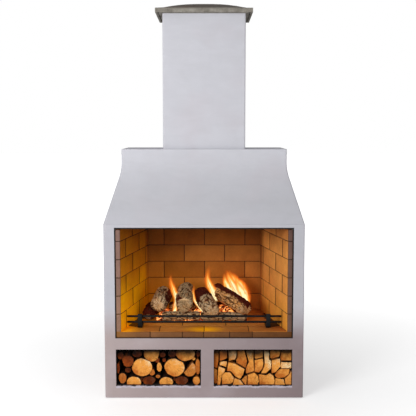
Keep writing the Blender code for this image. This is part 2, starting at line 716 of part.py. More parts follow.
def make_cap():
    """A cast slab, domed on top, with a drip groove round its underside."""
    half_width = CHIMNEY_WIDTH / 2 + CAP_OVERHANG
    half_depth = CHIMNEY_DEPTH / 2 + CAP_OVERHANG
    shape = bmesh.new()
    bmesh.ops.create_grid(shape, x_segments=CAP_CELLS, y_segments=CAP_CELLS, size=1)
    grown = bmesh.ops.extrude_face_region(shape, geom=shape.faces[:])["geom"]
    for point in (part for part in grown if isinstance(part, bmesh.types.BMVert)):
        point.co.z = 1
    for point in shape.verts:
        dome = (1 - abs(point.co.x) ** DOME_POWER) * (1 - abs(point.co.y) ** DOME_POWER)
        height = CAP_EDGE + CAP_RISE * dome if point.co.z else 0
        point.co = (point.co.x * half_width, point.co.y * half_depth, height)
    under = [face for face in shape.faces if face.calc_center_median().z <= 0]
    bmesh.ops.dissolve_faces(shape, faces=under)
    cap = add_piece(
        "chimney_cap", mesh_from(shape, "chimney_cap", smooth=True), (0, 0, CHIMNEY_TOP + GAP), "cast_cap"
    )
    across, deep = half_width - DRIP_INSET, half_depth - DRIP_INSET
    low, high = CHIMNEY_TOP - OVERRUN, CHIMNEY_TOP + GAP + DRIP_DEPTH
    groove = add_box_cutter("drip_groove", (-across, -deep, low), (across, deep, high))
    across, deep = across - DRIP_WIDTH, deep - DRIP_WIDTH
    low, high = low - OVERRUN, high + OVERRUN
    combine(groove, add_box_cutter("drip_island", (-across, -deep, low), (across, deep, high)))
    combine(cap, groove)


def add_joint_marker(name, place):
    """An empty where a loose set of pieces is held as it moves."""
    marker = bpy.data.objects.new(name, None)
    marker.location = place
    PIECES.objects.link(marker)
    return marker


def hang(pieces, marker):
    """Parents the pieces to a marker and leaves them where they are."""
    for piece in pieces:
        piece.location = Vector(piece.location) - marker.location
        piece.parent = marker


def add_rail(name, height):
    """A round rail along the guard, welded behind its uprights."""
    curve = bpy.data.curves.new(name, "CURVE")
    curve.dimensions = "3D"
    curve.bevel_depth = RAIL_RADIUS
    curve.bevel_resolution = 3
    curve.use_fill_caps = True
    spline = curve.splines.new("POLY")
    spline.points.add(1)
    for point, side in zip(spline.points, (-1, 1)):
        point.co = (side * RAIL_HALF_LENGTH, 0, 0, 1)
    return add_piece(name, curve, (0, RAIL_AXIS, FLOOR_LEVEL + GAP + height), "black_steel")


def upright_outline():
    """Side view of an upright: a flat bar bent back at its foot, from the foot's tip round."""
    inner = FOOT_BEND_RADIUS - UPRIGHT_THICKNESS
    turns = [math.pi / 2 * step / BEND_STEPS for step in range(BEND_STEPS + 1)]
    bend = FOOT_BEND_RADIUS
    outside = [(bend - bend * math.sin(turn), bend - bend * math.cos(turn)) for turn in turns]
    inside = [(bend - inner * math.sin(turn), bend - inner * math.cos(turn)) for turn in turns]
    outline = [(FOOT_LENGTH, UPRIGHT_THICKNESS), (FOOT_LENGTH, 0), *outside]
    outline += [(0, UPRIGHT_HEIGHT), (UPRIGHT_THICKNESS, UPRIGHT_HEIGHT), *reversed(inside)]
    return outline


def make_guard():
    """The loose log guard: two bent flat uprights and two round rails."""
    marker = add_joint_marker("log_guard_hold", (0, GUARD_FACE, FLOOR_LEVEL))
    pieces = [
        add_rail("guard_top_rail", TOP_RAIL_HEIGHT),
        add_rail("guard_lower_rail", LOWER_RAIL_HEIGHT),
    ]
    upright_on_its_side = Matrix(((0, 1, 0), (0, 0, 1), (1, 0, 0))).transposed().to_4x4()
    for hand, side in (("left", -1), ("right", 1)):
        mesh = outline_mesh(upright_outline(), UPRIGHT_WIDTH)
        mesh.transform(upright_on_its_side)
        place = (side * UPRIGHT_SPACING / 2 - UPRIGHT_WIDTH / 2, GUARD_FACE, FLOOR_LEVEL + GAP)
        pieces.append(add_piece(f"guard_{hand}_upright", mesh, place, "black_steel"))
    hang(pieces, marker)


def rough_radius(radius, turn, along, seed):
    """The radius of a log in one direction, uneven as bark is."""
    swell = 0
    for share, waves in zip(BARK_SWELL_SHARES, BARK_WAVES):
        swell += share * math.sin(waves * turn + (waves - 1) * (seed + along))
    return radius * (1 + swell - LOG_TAPER_SHARE * along)


def log_mesh(name, length, radius, seed):
    """An uneven log along X about its own middle, a little thinner at one end."""
    shape = bmesh.new()
    bmesh.ops.create_cone(
        shape, cap_ends=True, segments=FIRE_LOG_SIDES, radius1=radius, radius2=radius, depth=length
    )
    long_edges = [edge for edge in shape.edges if edge.verts[0].co.z * edge.verts[1].co.z < 0]
    bmesh.ops.subdivide_edges(shape, edges=long_edges, cuts=FIRE_LOG_RINGS)
    for point in shape.verts:
        turn, along = math.atan2(point.co.y, point.co.x), point.co.z / length
        reach = rough_radius(radius, turn, along, seed)
        sag = LOG_BEND_SHARE * radius * math.sin(math.pi * along + seed)
        point.co = (point.co.z, reach * math.cos(turn), reach * math.sin(turn) + sag)
    return mesh_from(shape, name, smooth=True)


def settled(mesh, turned, start, supports):
    """Where the turned mesh comes to rest on its supports, let down from the start."""
    points = [turned @ vertex.co for vertex in mesh.vertices]
    sides = [tuple(face.vertices) for face in mesh.polygons]
    place = Vector(start)
    fall = start.z - FLOOR_LEVEL
    for _ in range(SETTLE_STEPS):
        fall /= 2
        lower = place - Vector((0, 0, fall))
        tree = BVHTree.FromPolygons([point + lower for point in points], sides)
        if not any(tree.overlap(support) for support in supports):
            place = lower
    return place + Vector((0, 0, GAP))


def floor_support():
    """The hearth's surface, as something to rest on."""
    shape = bmesh.new()
    bmesh.ops.create_cube(shape, size=1)
    bmesh.ops.scale(shape, vec=(BODY_WIDTH, BODY_DEPTH, HEARTH_BRICK_HEIGHT), verts=shape.verts)
    bmesh.ops.translate(shape, vec=(0, 0, FLOOR_LEVEL - HEARTH_BRICK_HEIGHT / 2), verts=shape.verts)
    support = BVHTree.FromBMesh(shape)
    shape.free()
    return support


def add_fire_log(name, shares, seed, supports):
    """One burning log, let down onto the hearth or onto the logs below it."""
    across, deep, long, thick, heading, tilt = shares
    heading, tilt = math.radians(heading), math.radians(tilt)
    span = math.hypot(math.cos(heading) * BACK_FACE_WIDTH / 2, math.sin(heading) * FIRE_LOG_LENGTH)
    mesh = log_mesh(name, long * span, FIRE_LOG_RADIUS * thick, seed)
    turned = Matrix.Rotation(heading, 3, "Z") @ Matrix.Rotation(tilt, 3, "Y")
    above = Vector((across * BACK_FACE_WIDTH / 2, deep * FIREBOX_DEPTH - HALF_DEPTH, OPENING_TOP))
    place = settled(mesh, turned, above, supports)
    log = add_piece(name, mesh, place, "charred_wood")
    log.rotation_euler = turned.to_euler()
    points = [turned @ vertex.co + place for vertex in mesh.vertices]
    supports.append(BVHTree.FromPolygons(points, [tuple(face.vertices) for face in mesh.polygons]))
    return log


def make_fire_logs():
    """The burning logs: some lie on the hearth and the others lean on them."""
    supports = [floor_support()]
    pieces = []
    for seed, (name, shares) in enumerate(FIRE_LOG_SHARES.items()):
        pieces.append(add_fire_log(name, shares, seed + 1, supports))
    hang(pieces, add_joint_marker("fire_logs_hold", (0, deep_middle(pieces), FLOOR_LEVEL)))


def deep_middle(pieces):
    """The middle of some pieces, front to back."""
    return sum(piece.location.y for piece in pieces) / len(pieces)


def nested_centre(left, right, radius):
    """The centre of a round log that lies on two others, each a place across, a height and a radius."""
    span = Vector((right[0] - left[0], right[1] - left[1]))
    reach_left, reach_right = left[2] + radius, right[2] + radius
    along = (reach_left**2 - reach_right**2 + span.length_squared) / (2 * span.length)
    rise = math.sqrt(reach_left**2 - along**2)
    unit = span.normalized()
    return left[0] + along * unit.x - rise * unit.y, left[1] + along * unit.y + rise * unit.x, radius


def round_stack(width, height):
    """The round logs of a stack, each as its place across, its height and its radius."""
    size = min(width * STACK_TO_STORE_SHARE, height)
    logs = [(across * size, radius * size, radius * size) for across, radius in BOTTOM_LOG_SHARES]
    for left, right, radius in NESTED_LOG_SHARES:
        logs.append(nested_centre(logs[left], logs[right], radius * size))
    return logs


def stagger(number):
    """How far one log's end stands behind the nearest one, between none and the whole stagger."""
    return STACK_STAGGER * (0.5 + 0.5 * math.sin(2.4 * number + 1))


def full_in_the_middle(shape, middle, end_share, middle_share):
    """Gives a log that stands on its end a ring halfway up, and scales its ends and that ring."""
    halfway = sum(point.co.z for point in shape.verts) / len(shape.verts)
    upright = [edge for edge in shape.edges if abs(edge.verts[0].co.z - edge.verts[1].co.z) > WELD]
    bmesh.ops.subdivide_edges(shape, edges=upright, cuts=1)
    for point in shape.verts:
        share = middle_share if abs(point.co.z - halfway) < WELD else end_share
        point.co.x = middle.x + (point.co.x - middle.x) * share
        point.co.y = middle.y + (point.co.y - middle.y) * share


def laid_down(shape, place, near):
    """Lays a log that stands on its end along Y, from a place near the front."""
    for point in shape.verts:
        point.co = (place.x + point.co.x, near + point.co.z, place.y + point.co.y)


def round_log_mesh(name, place, radius, number):
    """A round stored log, full in the middle so that it presses on its neighbours."""
    shape = bmesh.new()
    sizes = {"radius1": radius, "radius2": radius, "depth": STORED_LOG_LENGTH}
    bmesh.ops.create_cone(shape, cap_ends=True, segments=ROUND_LOG_SIDES, **sizes)
    bmesh.ops.rotate(shape, verts=shape.verts, matrix=Matrix.Rotation(number, 3, "Z"))
    full_in_the_middle(shape, Vector((0, 0)), ROUND_END_SHARE, ROUND_MIDDLE_SHARE)
    laid_down(shape, place, STACK_FACE + stagger(number) + STORED_LOG_LENGTH / 2)
    return mesh_from(shape, name, smooth=True)


def split_cell(number, middles, width, height):
    """The part of the stack's face that is nearer to one log's middle than to any other's."""
    own = middles[number]
    cell = [Vector(corner) for corner in ((0, 0), (width, 0), (width, height), (0, height))]
    for other in middles:
        if other is own:
            continue
        normal, halfway = other - own, (other + own) / 2
        kept = []
        for here, after in zip(cell, cell[1:] + cell[:1]):
            near, far = (here - halfway).dot(normal), (after - halfway).dot(normal)
            if near <= 0:
                kept.append(here)
            if near * far < 0:
                kept.append(here.lerp(after, near / (near - far)))
        cell = kept
    return tidied(cell)


def tidied(cell):
    """A cell without corners that almost coincide."""
    pairs = zip(cell, cell[1:] + cell[:1])
    return [here for here, after in pairs if (after - here).length > SHORTEST_SPLIT_SIDE]


def split_log_mesh(name, cell, place, number):
    """A split stored log, full in the middle and with a narrow gap round its ends."""
    shape = bmesh.new()
    shape.from_mesh(outline_mesh(cell, STORED_LOG_LENGTH))
    middle = sum(cell, Vector((0, 0))) / len(cell)
    full_in_the_middle(shape, middle, SPLIT_END_SHARE, SPLIT_MIDDLE_SHARE)
    laid_down(shape, place, STACK_FACE + stagger(number))
    return mesh_from(shape, name, smooth=True)


def add_stack(name, meshes, finish):
    """Joins stored logs that press on each other into one stack that stands on the store's floor."""
    parts = bpy.data.collections.new(name + "_logs")
    parts.hide_render = True
    CUTTERS.children.link(parts)
    low = min(vertex.co.z for mesh in meshes for vertex in mesh.vertices)
    place = Vector((0, 0, BASE_SLAB_HEIGHT + GAP - low))
    for number, mesh in enumerate(meshes[1:]):
        add_cutter(f"{name}_log_{number + 2}", mesh, place, parts)
    stack = add_piece(name, meshes[0], place, finish)
    joining = stack.modifiers.new("stacked", "BOOLEAN")
    joining.operation = "UNION"
    joining.operand_type = "COLLECTION"
    joining.collection = parts
    return stack


def make_stacks():
    """The stored firewood: round logs at the left and split logs at the right."""
    left_width = DIVIDER_LEFT + STORE_HALF_WIDTH
    logs = round_stack(left_width, STORE_HEIGHT)
    rightmost = max(across + radius for across, _, radius in logs)
    start = (left_width - rightmost) / 2 - STORE_HALF_WIDTH
    meshes = []
    for number, (across, level, radius) in enumerate(logs):
        meshes.append(round_log_mesh("round_log", Vector((start + across, level)), radius, number))
    left = add_stack("round_log_stack", meshes, "round_firewood")

    height = STORE_HEIGHT - STACK_HEADROOM
    right_width = STORE_HALF_WIDTH - DIVIDER_RIGHT - 2 * STACK_SIDE_ROOM
    middles = [Vector((u * right_width, v * height)) for u, v in SPLIT_LOG_SHARES]
    place = Vector((DIVIDER_RIGHT + STACK_SIDE_ROOM, 0))
    meshes = []
    for number in range(len(middles)):
        cell = split_cell(number, middles, right_width, height)
        meshes.append(split_log_mesh("split_log", cell, place, number))
    right = add_stack("split_log_stack", meshes, "split_firewood")
    for stack, hand in ((left, "left"), (right, "right")):
        hang([stack], add_joint_marker(f"{hand}_store_hold", (0, STACK_FACE, BASE_SLAB_HEIGHT)))


def main():
    make_base()
    make_firebox_walls()
    make_hearth_bricks()
    make_lining()
    make_hood()
    outlet = make_chimney()
    make_coats(outlet)
    make_cap()
    make_guard()
    make_fire_logs()
    make_stacks()


main()
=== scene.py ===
"""Dresses the outdoor fireplace: render, firebrick, cast cap, log guard, fire, firewood and stage.

Laid out as a Blender add-on and run as a script. Each operator makes one piece or one group of like
pieces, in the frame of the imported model: metres, +Z up, the open side of the firebox towards -Y.
"""

import math
from functools import partial

import bmesh
import bpy
import numpy as np
from mathutils import Matrix, Vector, noise
from mathutils.bvhtree import BVHTree


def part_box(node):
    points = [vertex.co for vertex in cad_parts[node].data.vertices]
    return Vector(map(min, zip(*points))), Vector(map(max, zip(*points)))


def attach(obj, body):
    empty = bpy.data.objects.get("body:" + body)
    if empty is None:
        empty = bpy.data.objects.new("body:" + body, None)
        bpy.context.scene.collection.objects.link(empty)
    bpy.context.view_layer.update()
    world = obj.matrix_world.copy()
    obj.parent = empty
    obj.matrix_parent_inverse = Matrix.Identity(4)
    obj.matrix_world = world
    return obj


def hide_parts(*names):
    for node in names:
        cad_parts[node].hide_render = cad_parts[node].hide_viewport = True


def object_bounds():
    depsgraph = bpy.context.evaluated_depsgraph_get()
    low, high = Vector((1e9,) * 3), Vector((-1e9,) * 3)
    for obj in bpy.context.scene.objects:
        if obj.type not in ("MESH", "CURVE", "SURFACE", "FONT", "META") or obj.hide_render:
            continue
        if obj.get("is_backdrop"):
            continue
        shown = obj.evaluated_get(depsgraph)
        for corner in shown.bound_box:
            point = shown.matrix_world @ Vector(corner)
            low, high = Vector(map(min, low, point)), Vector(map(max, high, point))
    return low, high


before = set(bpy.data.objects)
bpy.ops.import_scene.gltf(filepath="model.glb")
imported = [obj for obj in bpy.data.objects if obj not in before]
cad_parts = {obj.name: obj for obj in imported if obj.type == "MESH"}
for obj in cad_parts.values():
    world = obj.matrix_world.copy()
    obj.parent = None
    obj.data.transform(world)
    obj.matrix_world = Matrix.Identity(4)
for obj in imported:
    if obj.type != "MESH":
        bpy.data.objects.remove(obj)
CAD_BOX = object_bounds()

bl_info = {
    "name": "Outdoor fireplace",
    "version": (1, 0, 0),
    "blender": (4, 5, 0),
    "location": "3D View > Sidebar > Fireplace",
    "description": "Finishes a rendered outdoor fireplace with its firebricks, fire and firewood",
    "category": "Object",
}

BODY = "fireplace"
MM = 0.001

# Faces and levels of the solids that the pieces are set against
LINING_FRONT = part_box("left_lining_course_1")[0][1]
LINING_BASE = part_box("left_lining_course_1")[0][2]
LINING_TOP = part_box("left_lining_course_6")[1][2]
BACK_FACE, BACK_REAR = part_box("back_lining_course_1")[0][1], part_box("back_lining_course_1")[1][1]
BACK_HALF_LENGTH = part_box("back_lining_course_1")[1][0]
SIDE_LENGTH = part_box("left_lining_course_1")[1][1] - LINING_FRONT
OUTER_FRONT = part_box("right_lining_course_1")[1][0]
INNER_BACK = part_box("right_lining_course_1")[0][0]
FLOOR_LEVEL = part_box("hearth_brick_row_1")[1][2]
HEARTH_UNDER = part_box("hearth_brick_row_1")[0][2]
HEARTH_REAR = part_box("hearth_brick_row_4")[1][1]
HEARTH_HALF_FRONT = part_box("hearth_brick_row_1")[1][0]
HEARTH_HALF_REAR = BACK_HALF_LENGTH
LINING_THICKNESS = BACK_REAR - BACK_FACE
SPLAY = (OUTER_FRONT - LINING_THICKNESS - INNER_BACK) / SIDE_LENGTH
STORE_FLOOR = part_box("base_slab")[1][2]
STORE_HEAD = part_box("hearth_slab")[0][2]
LEFT_STORE = (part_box("store_left_wall")[1][0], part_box("store_divider")[0][0])
RIGHT_STORE = (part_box("store_divider")[1][0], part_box("store_right_wall")[0][0])
BODY_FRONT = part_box("body_coat")[0][1]
HALF_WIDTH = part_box("body_coat")[1][0]
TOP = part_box("chimney_cap")[1][2]
OPENING_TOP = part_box("lintel_beam")[0][2]
DIVIDER_MIDDLE = (LEFT_STORE[1] + RIGHT_STORE[0]) / 2
DIVIDER_HALF = (RIGHT_STORE[0] - LEFT_STORE[1]) / 2


def shade(code):
    """An sRGB hex colour as linear red, green and blue."""
    channels = [int(code[at : at + 2], 16) / 255 for at in (1, 3, 5)]
    return tuple(c / 12.92 if c <= 0.04045 else ((c + 0.055) / 1.055) ** 2.4 for c in channels)


def solid(colour):
    """A colour with full alpha, from a hex code or from linear red, green and blue."""
    return (*(shade(colour) if isinstance(colour, str) else tuple(colour)), 1)


FAMILIES = ("ShaderNode", "GeometryNode", "FunctionNode", "")


def feed(node, inputs):
    """Gives a node's inputs, by name or in the order of those in use, a value or what it comes from."""
    if isinstance(inputs, dict):
        pairs = [(node.inputs[key], value) for key, value in inputs.items()]
    else:
        pairs = zip([socket for socket in node.inputs if socket.enabled], inputs)
    for socket, value in pairs:
        if isinstance(value, bpy.types.Node):
            value = next(result for result in value.outputs if result.enabled)
        if isinstance(value, bpy.types.NodeSocket):
            node.id_data.links.new(value, socket)
        else:
            socket.default_value = solid(value) if socket.type == "RGBA" else value


def add_node(tree, kind, inputs=(), stops=(), **settings):
    """Adds a node with its settings, inputs and colour stops.

    A second word in its kind is its operation or, where it has none, its data type.
    """
    kind, *mode = kind.split()
    family = next(family for family in FAMILIES if hasattr(bpy.types, family + kind))
    made = tree.nodes.new(family + kind)
    for word in mode:
        setattr(made, "operation" if hasattr(made, "operation") else "data_type", word)
    for key, value in settings.items():
        setattr(made, key, value)
    for number, (place, colour) in enumerate(dict(stops).items()):
        marks = made.color_ramp.elements
        mark = marks[number] if number < 2 else marks.new(place)
        mark.position = place
        mark.color = solid(colour)
    feed(made, inputs)
    return made


def new_finish(name, **values):
    """A new material, what adds its nodes, and its shader, whose named inputs get these values."""
    material = bpy.data.materials.new(name)
    material.use_nodes = True
    shader = material.node_tree.nodes["Principled BSDF"]
    feed(shader, {key.replace("_", " "): value for key, value in values.items()})
    return material, partial(add_node, material.node_tree), shader


def mesh_of(shape, name, smooth_angle=None):
    """Turns an edited shape into a mesh, smooth up to an angle in degrees."""
    mesh = bpy.data.meshes.new(name)
    shape.to_mesh(mesh)
    shape.free()
    if smooth_angle is None:
        mesh.shade_flat()
    else:
        mesh.shade_smooth()
        mesh.set_sharp_from_angle(angle=math.radians(smooth_angle))
    return mesh


def show(name, data):
    """A new object in the scene."""
    thing = bpy.data.objects.new(name, data)
    bpy.context.scene.collection.objects.link(thing)
    return thing


def cover(mesh, material):
    """Gives a mesh one material."""
    mesh.materials.clear()
    mesh.materials.append(material)


def make_piece(name, mesh, material, body, replaced=()):
    """A finished piece that rides on a body and may stand for solids."""
    cover(mesh, material)
    piece = show(name, mesh)
    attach(piece, body)
    if replaced:
        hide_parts(*replaced)


def refinish(nodes, material):
    """Gives solids that are shown as they are a better material."""
    for node in nodes:
        cover(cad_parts[node].data, material)


def evaluated(thing):
    """The plain mesh that an object's modifiers make."""
    graph = bpy.context.evaluated_depsgraph_get()
    source = thing.evaluated_get(graph)
    return bpy.data.meshes.new_from_object(source, preserve_all_data_layers=True, depsgraph=graph)


def grown(name, tree, values, source=None):
    """The plain mesh that a Geometry Nodes tree makes from its named inputs."""
    carrier = show(name, source or bpy.data.meshes.new(name))
    growing = carrier.modifiers.new(name, "NODES")
    growing.node_group = tree
    for item in tree.interface.items_tree:
        if item.in_out == "INPUT" and item.name in values:
            growing[item.identifier] = values[item.name]
    mesh = evaluated(carrier)
    bpy.data.objects.remove(carrier)
    if not mesh.polygons:
        raise RuntimeError(f"{name} came out empty")
    return mesh


def new_tree(name, sockets):
    """An empty Geometry Nodes tree, what adds its nodes, its named inputs and its end."""
    tree = bpy.data.node_groups.new(name, "GeometryNodeTree")
    tree.interface.new_socket(name="Geometry", in_out="OUTPUT", socket_type="NodeSocketGeometry")
    for label, kind in sockets.items():
        tree.interface.new_socket(name=label, in_out="INPUT", socket_type="NodeSocket" + kind)
    add = partial(add_node, tree)
    return tree, add, add("NodeGroupInput").outputs, add("NodeGroupOutput")


def float_layers(shape, *names):
    """New numbers on each point of a shape, by name."""
    return {name: shape.verts.layers.float.new(name) for name in names}


def circle(count):
    """Evenly spaced turns round a circle, in radians."""
    return [math.tau * number / count for number in range(count)]


def skin(shape, rows, closed=True, turned=False):
    """Faces between each row of points and the next."""
    for here, after in zip(rows, rows[1:]):
        for number in range(len(here) - (not closed)):
            following = (number + 1) % len(here)
            corners = here[number], here[following], after[following], after[number]
            shape.faces.new(corners[:1] + corners[:0:-1] if turned else corners)


def wear(shape, edges, radius, segments):
    """Rounds edges."""
    ways = {"affect": "EDGES", "profile": 0.5, "clamp_overlap": True}
    bmesh.ops.bevel(shape, geom=edges, offset=radius, segments=segments, **ways)


def fan(shape, row, heart):
    """Faces from a closed row of points to the one in its middle."""
    for number, point in enumerate(row):
        shape.faces.new((point, row[(number + 1) % len(row)], heart))


def box_shape(low, high):
    """A box between two corners, for editing."""
    low, high = Vector(low), Vector(high)
    shape = bmesh.new()
    bmesh.ops.create_cube(shape, size=1)
    bmesh.ops.scale(shape, vec=high - low, verts=shape.verts)
    bmesh.ops.translate(shape, vec=(low + high) / 2, verts=shape.verts)
    return shape


def met(mesh, cutter):
    """What a mesh and another have in common."""
    piece, helper = show("met", mesh), show("cutter", cutter)
    change = piece.modifiers.new("met", "BOOLEAN")
    change.operation = "INTERSECT"
    change.object = helper
    result = evaluated(piece)
    for thing in (piece, helper):
        bpy.data.objects.remove(thing)
    return result


# Finishes


def render_finish(look):
    """Sand and cement render, floated smooth by hand.

    Gives the eye a matt lilac grey with soft clouds, faint float sweeps and a fine sandy grain, a
    little darker and pinker low down. Painted light makes the chimney lighter than the hood and body,
    painted shade makes the base darker to the right, and painted shadow draws a black line round the
    firebox opening and dark notches below each store.
    """
    material, add, shader = new_finish("floated_render", Roughness=0.92, IOR=1.45)
    place = add("TexCoord").outputs["Object"]
    cloud = add("TexNoise", [place, 2.3, 5, 0.58])
    level = add("SeparateXYZ", [place]).outputs["Z"]
    height = add("Math ADD", [level, add("Math MULTIPLY_ADD", [cloud, 0.1, -0.05])])
    share = add("Math DIVIDE", [height, TOP])
    # Painted light from above: the chimney's render is lighter than the hood's and the body's
    stops = [
        (0.20, look.body_colour),
        (0.43, look.body_colour),
        (0.50, look.hood_colour),
        (0.64, look.chimney_colour),
    ]
    upper = add("ValToRGB", [share], stops)
    parts = add("SeparateXYZ", [place])
    # Painted shade round the base: lighter to the left, darker to the right
    aside = add("MapRange", [parts.outputs["X"], -HALF_WIDTH, HALF_WIDTH])
    base = add("ValToRGB", [aside], {0.0: look.base_left, 0.5: look.base_colour, 1.0: look.base_right})
    tone = add("Mix RGBA", [add("MapRange", [height, 0.35, 0.52]), base, upper])
    # Float sweeps 60 to 120 mm long, drawn out sideways
    sweep_place = add("Mapping", {"Vector": place, "Scale": (5, 5, 16)})
    sweep = add("TexNoise", {"Vector": sweep_place, "Scale": 1.6, "Detail": 4, "Distortion": 0.8})
    patch = add("TexNoise", [place, 9, 6, 0.65])
    # Sand of 1 mm, drawn at 2 mm so that it shows
    sand = add("TexNoise", [place, 420, 2])
    all_three = add("Math MULTIPLY_ADD", [sand, 0.35, add("Math ADD", [sweep, patch])])
    spread = add("MapRange", [all_three, 0.75, 1.6, 1 - look.mottle, 1 + look.mottle])
    varied = add("Mix RGBA", [1.0, tone, spread], blend_type="MULTIPLY")
    # Pinkish lime bloom in patches
    bloom = add("TexNoise", [place, 3.0, 4.3, 3], noise_dimensions="4D")
    amount = add("MapRange", [bloom, 0.5, 0.75, 0, 0.35])
    tinted = add("Mix RGBA", [amount, varied, look.bloom_colour])
    # Painted shadow where the coat meets the firebox: a black line 7 mm over the opening, 4 mm beside it
    # and 3 mm under it
    sideways = add("Math ABSOLUTE", [parts.outputs["X"]])
    beside = add("Math MULTIPLY_ADD", [sideways, 1.75, -1.75 * OUTER_FRONT])
    over = add("Math SUBTRACT", [level, OPENING_TOP])
    under = add("Math MULTIPLY_ADD", [level, -2.3, 2.3 * HEARTH_UNDER])
    edge = add("Math MAXIMUM", [add("Math MAXIMUM", [beside, over]), under])
    near = add("MapRange", [edge, 8 * MM, 5.5 * MM])
    front = add("Math LESS_THAN", [parts.outputs["Y"], BODY_FRONT + 20 * MM])
    shadow_lined = add("Mix RGBA", [add("Math MULTIPLY", [near, front]), tinted, look.shadow_colour])
    # The coat is broken below each store: pale freshly broken edges, with dark notches of painted shade
    # between them, where the store's dark opening seems to reach down
    apart = add("Math ABSOLUTE", [add("Math SUBTRACT", [parts.outputs["X"], DIVIDER_MIDDLE])])
    clear = add("Math GREATER_THAN", [apart, DIVIDER_HALF])
    along = add("Math MULTIPLY", [clear, add("Math LESS_THAN", [sideways, RIGHT_STORE[1]])])
    ragged = add("TexNoise", [place, 38, 4, 0.7])
    depth = add("Math MULTIPLY_ADD", [level, -1.0, STORE_FLOOR])
    upto = add("Math MULTIPLY_ADD", [ragged, -0.024, depth])
    pale = add("MapRange", [upto, 1.0 * MM, -4.0 * MM, 0, 0.85])
    notch = add("MapRange", [upto, -10.5 * MM, -12.5 * MM])
    broken = add("Math MULTIPLY", [along, add("Math LESS_THAN", [level, STORE_FLOOR + 1 * MM])])
    some = add("Math MULTIPLY", [broken, front])
    pale_here = add("Math MULTIPLY", [pale, some])
    notch_here = add("Math MULTIPLY", [notch, some])
    edged = add("Mix RGBA", [pale_here, shadow_lined, look.sill_colour])
    notched = add("Mix RGBA", [notch_here, edged, look.shadow_colour])
    sweeps = add("Bump", {"Strength": 0.35, "Distance": 1.2 * MM, "Height": sweep})
    grain = add("Bump", {"Strength": 0.5, "Distance": 0.5 * MM, "Height": sand, "Normal": sweeps})
    feed(shader, {"Base Color": notched, "Normal": grain})
    return material


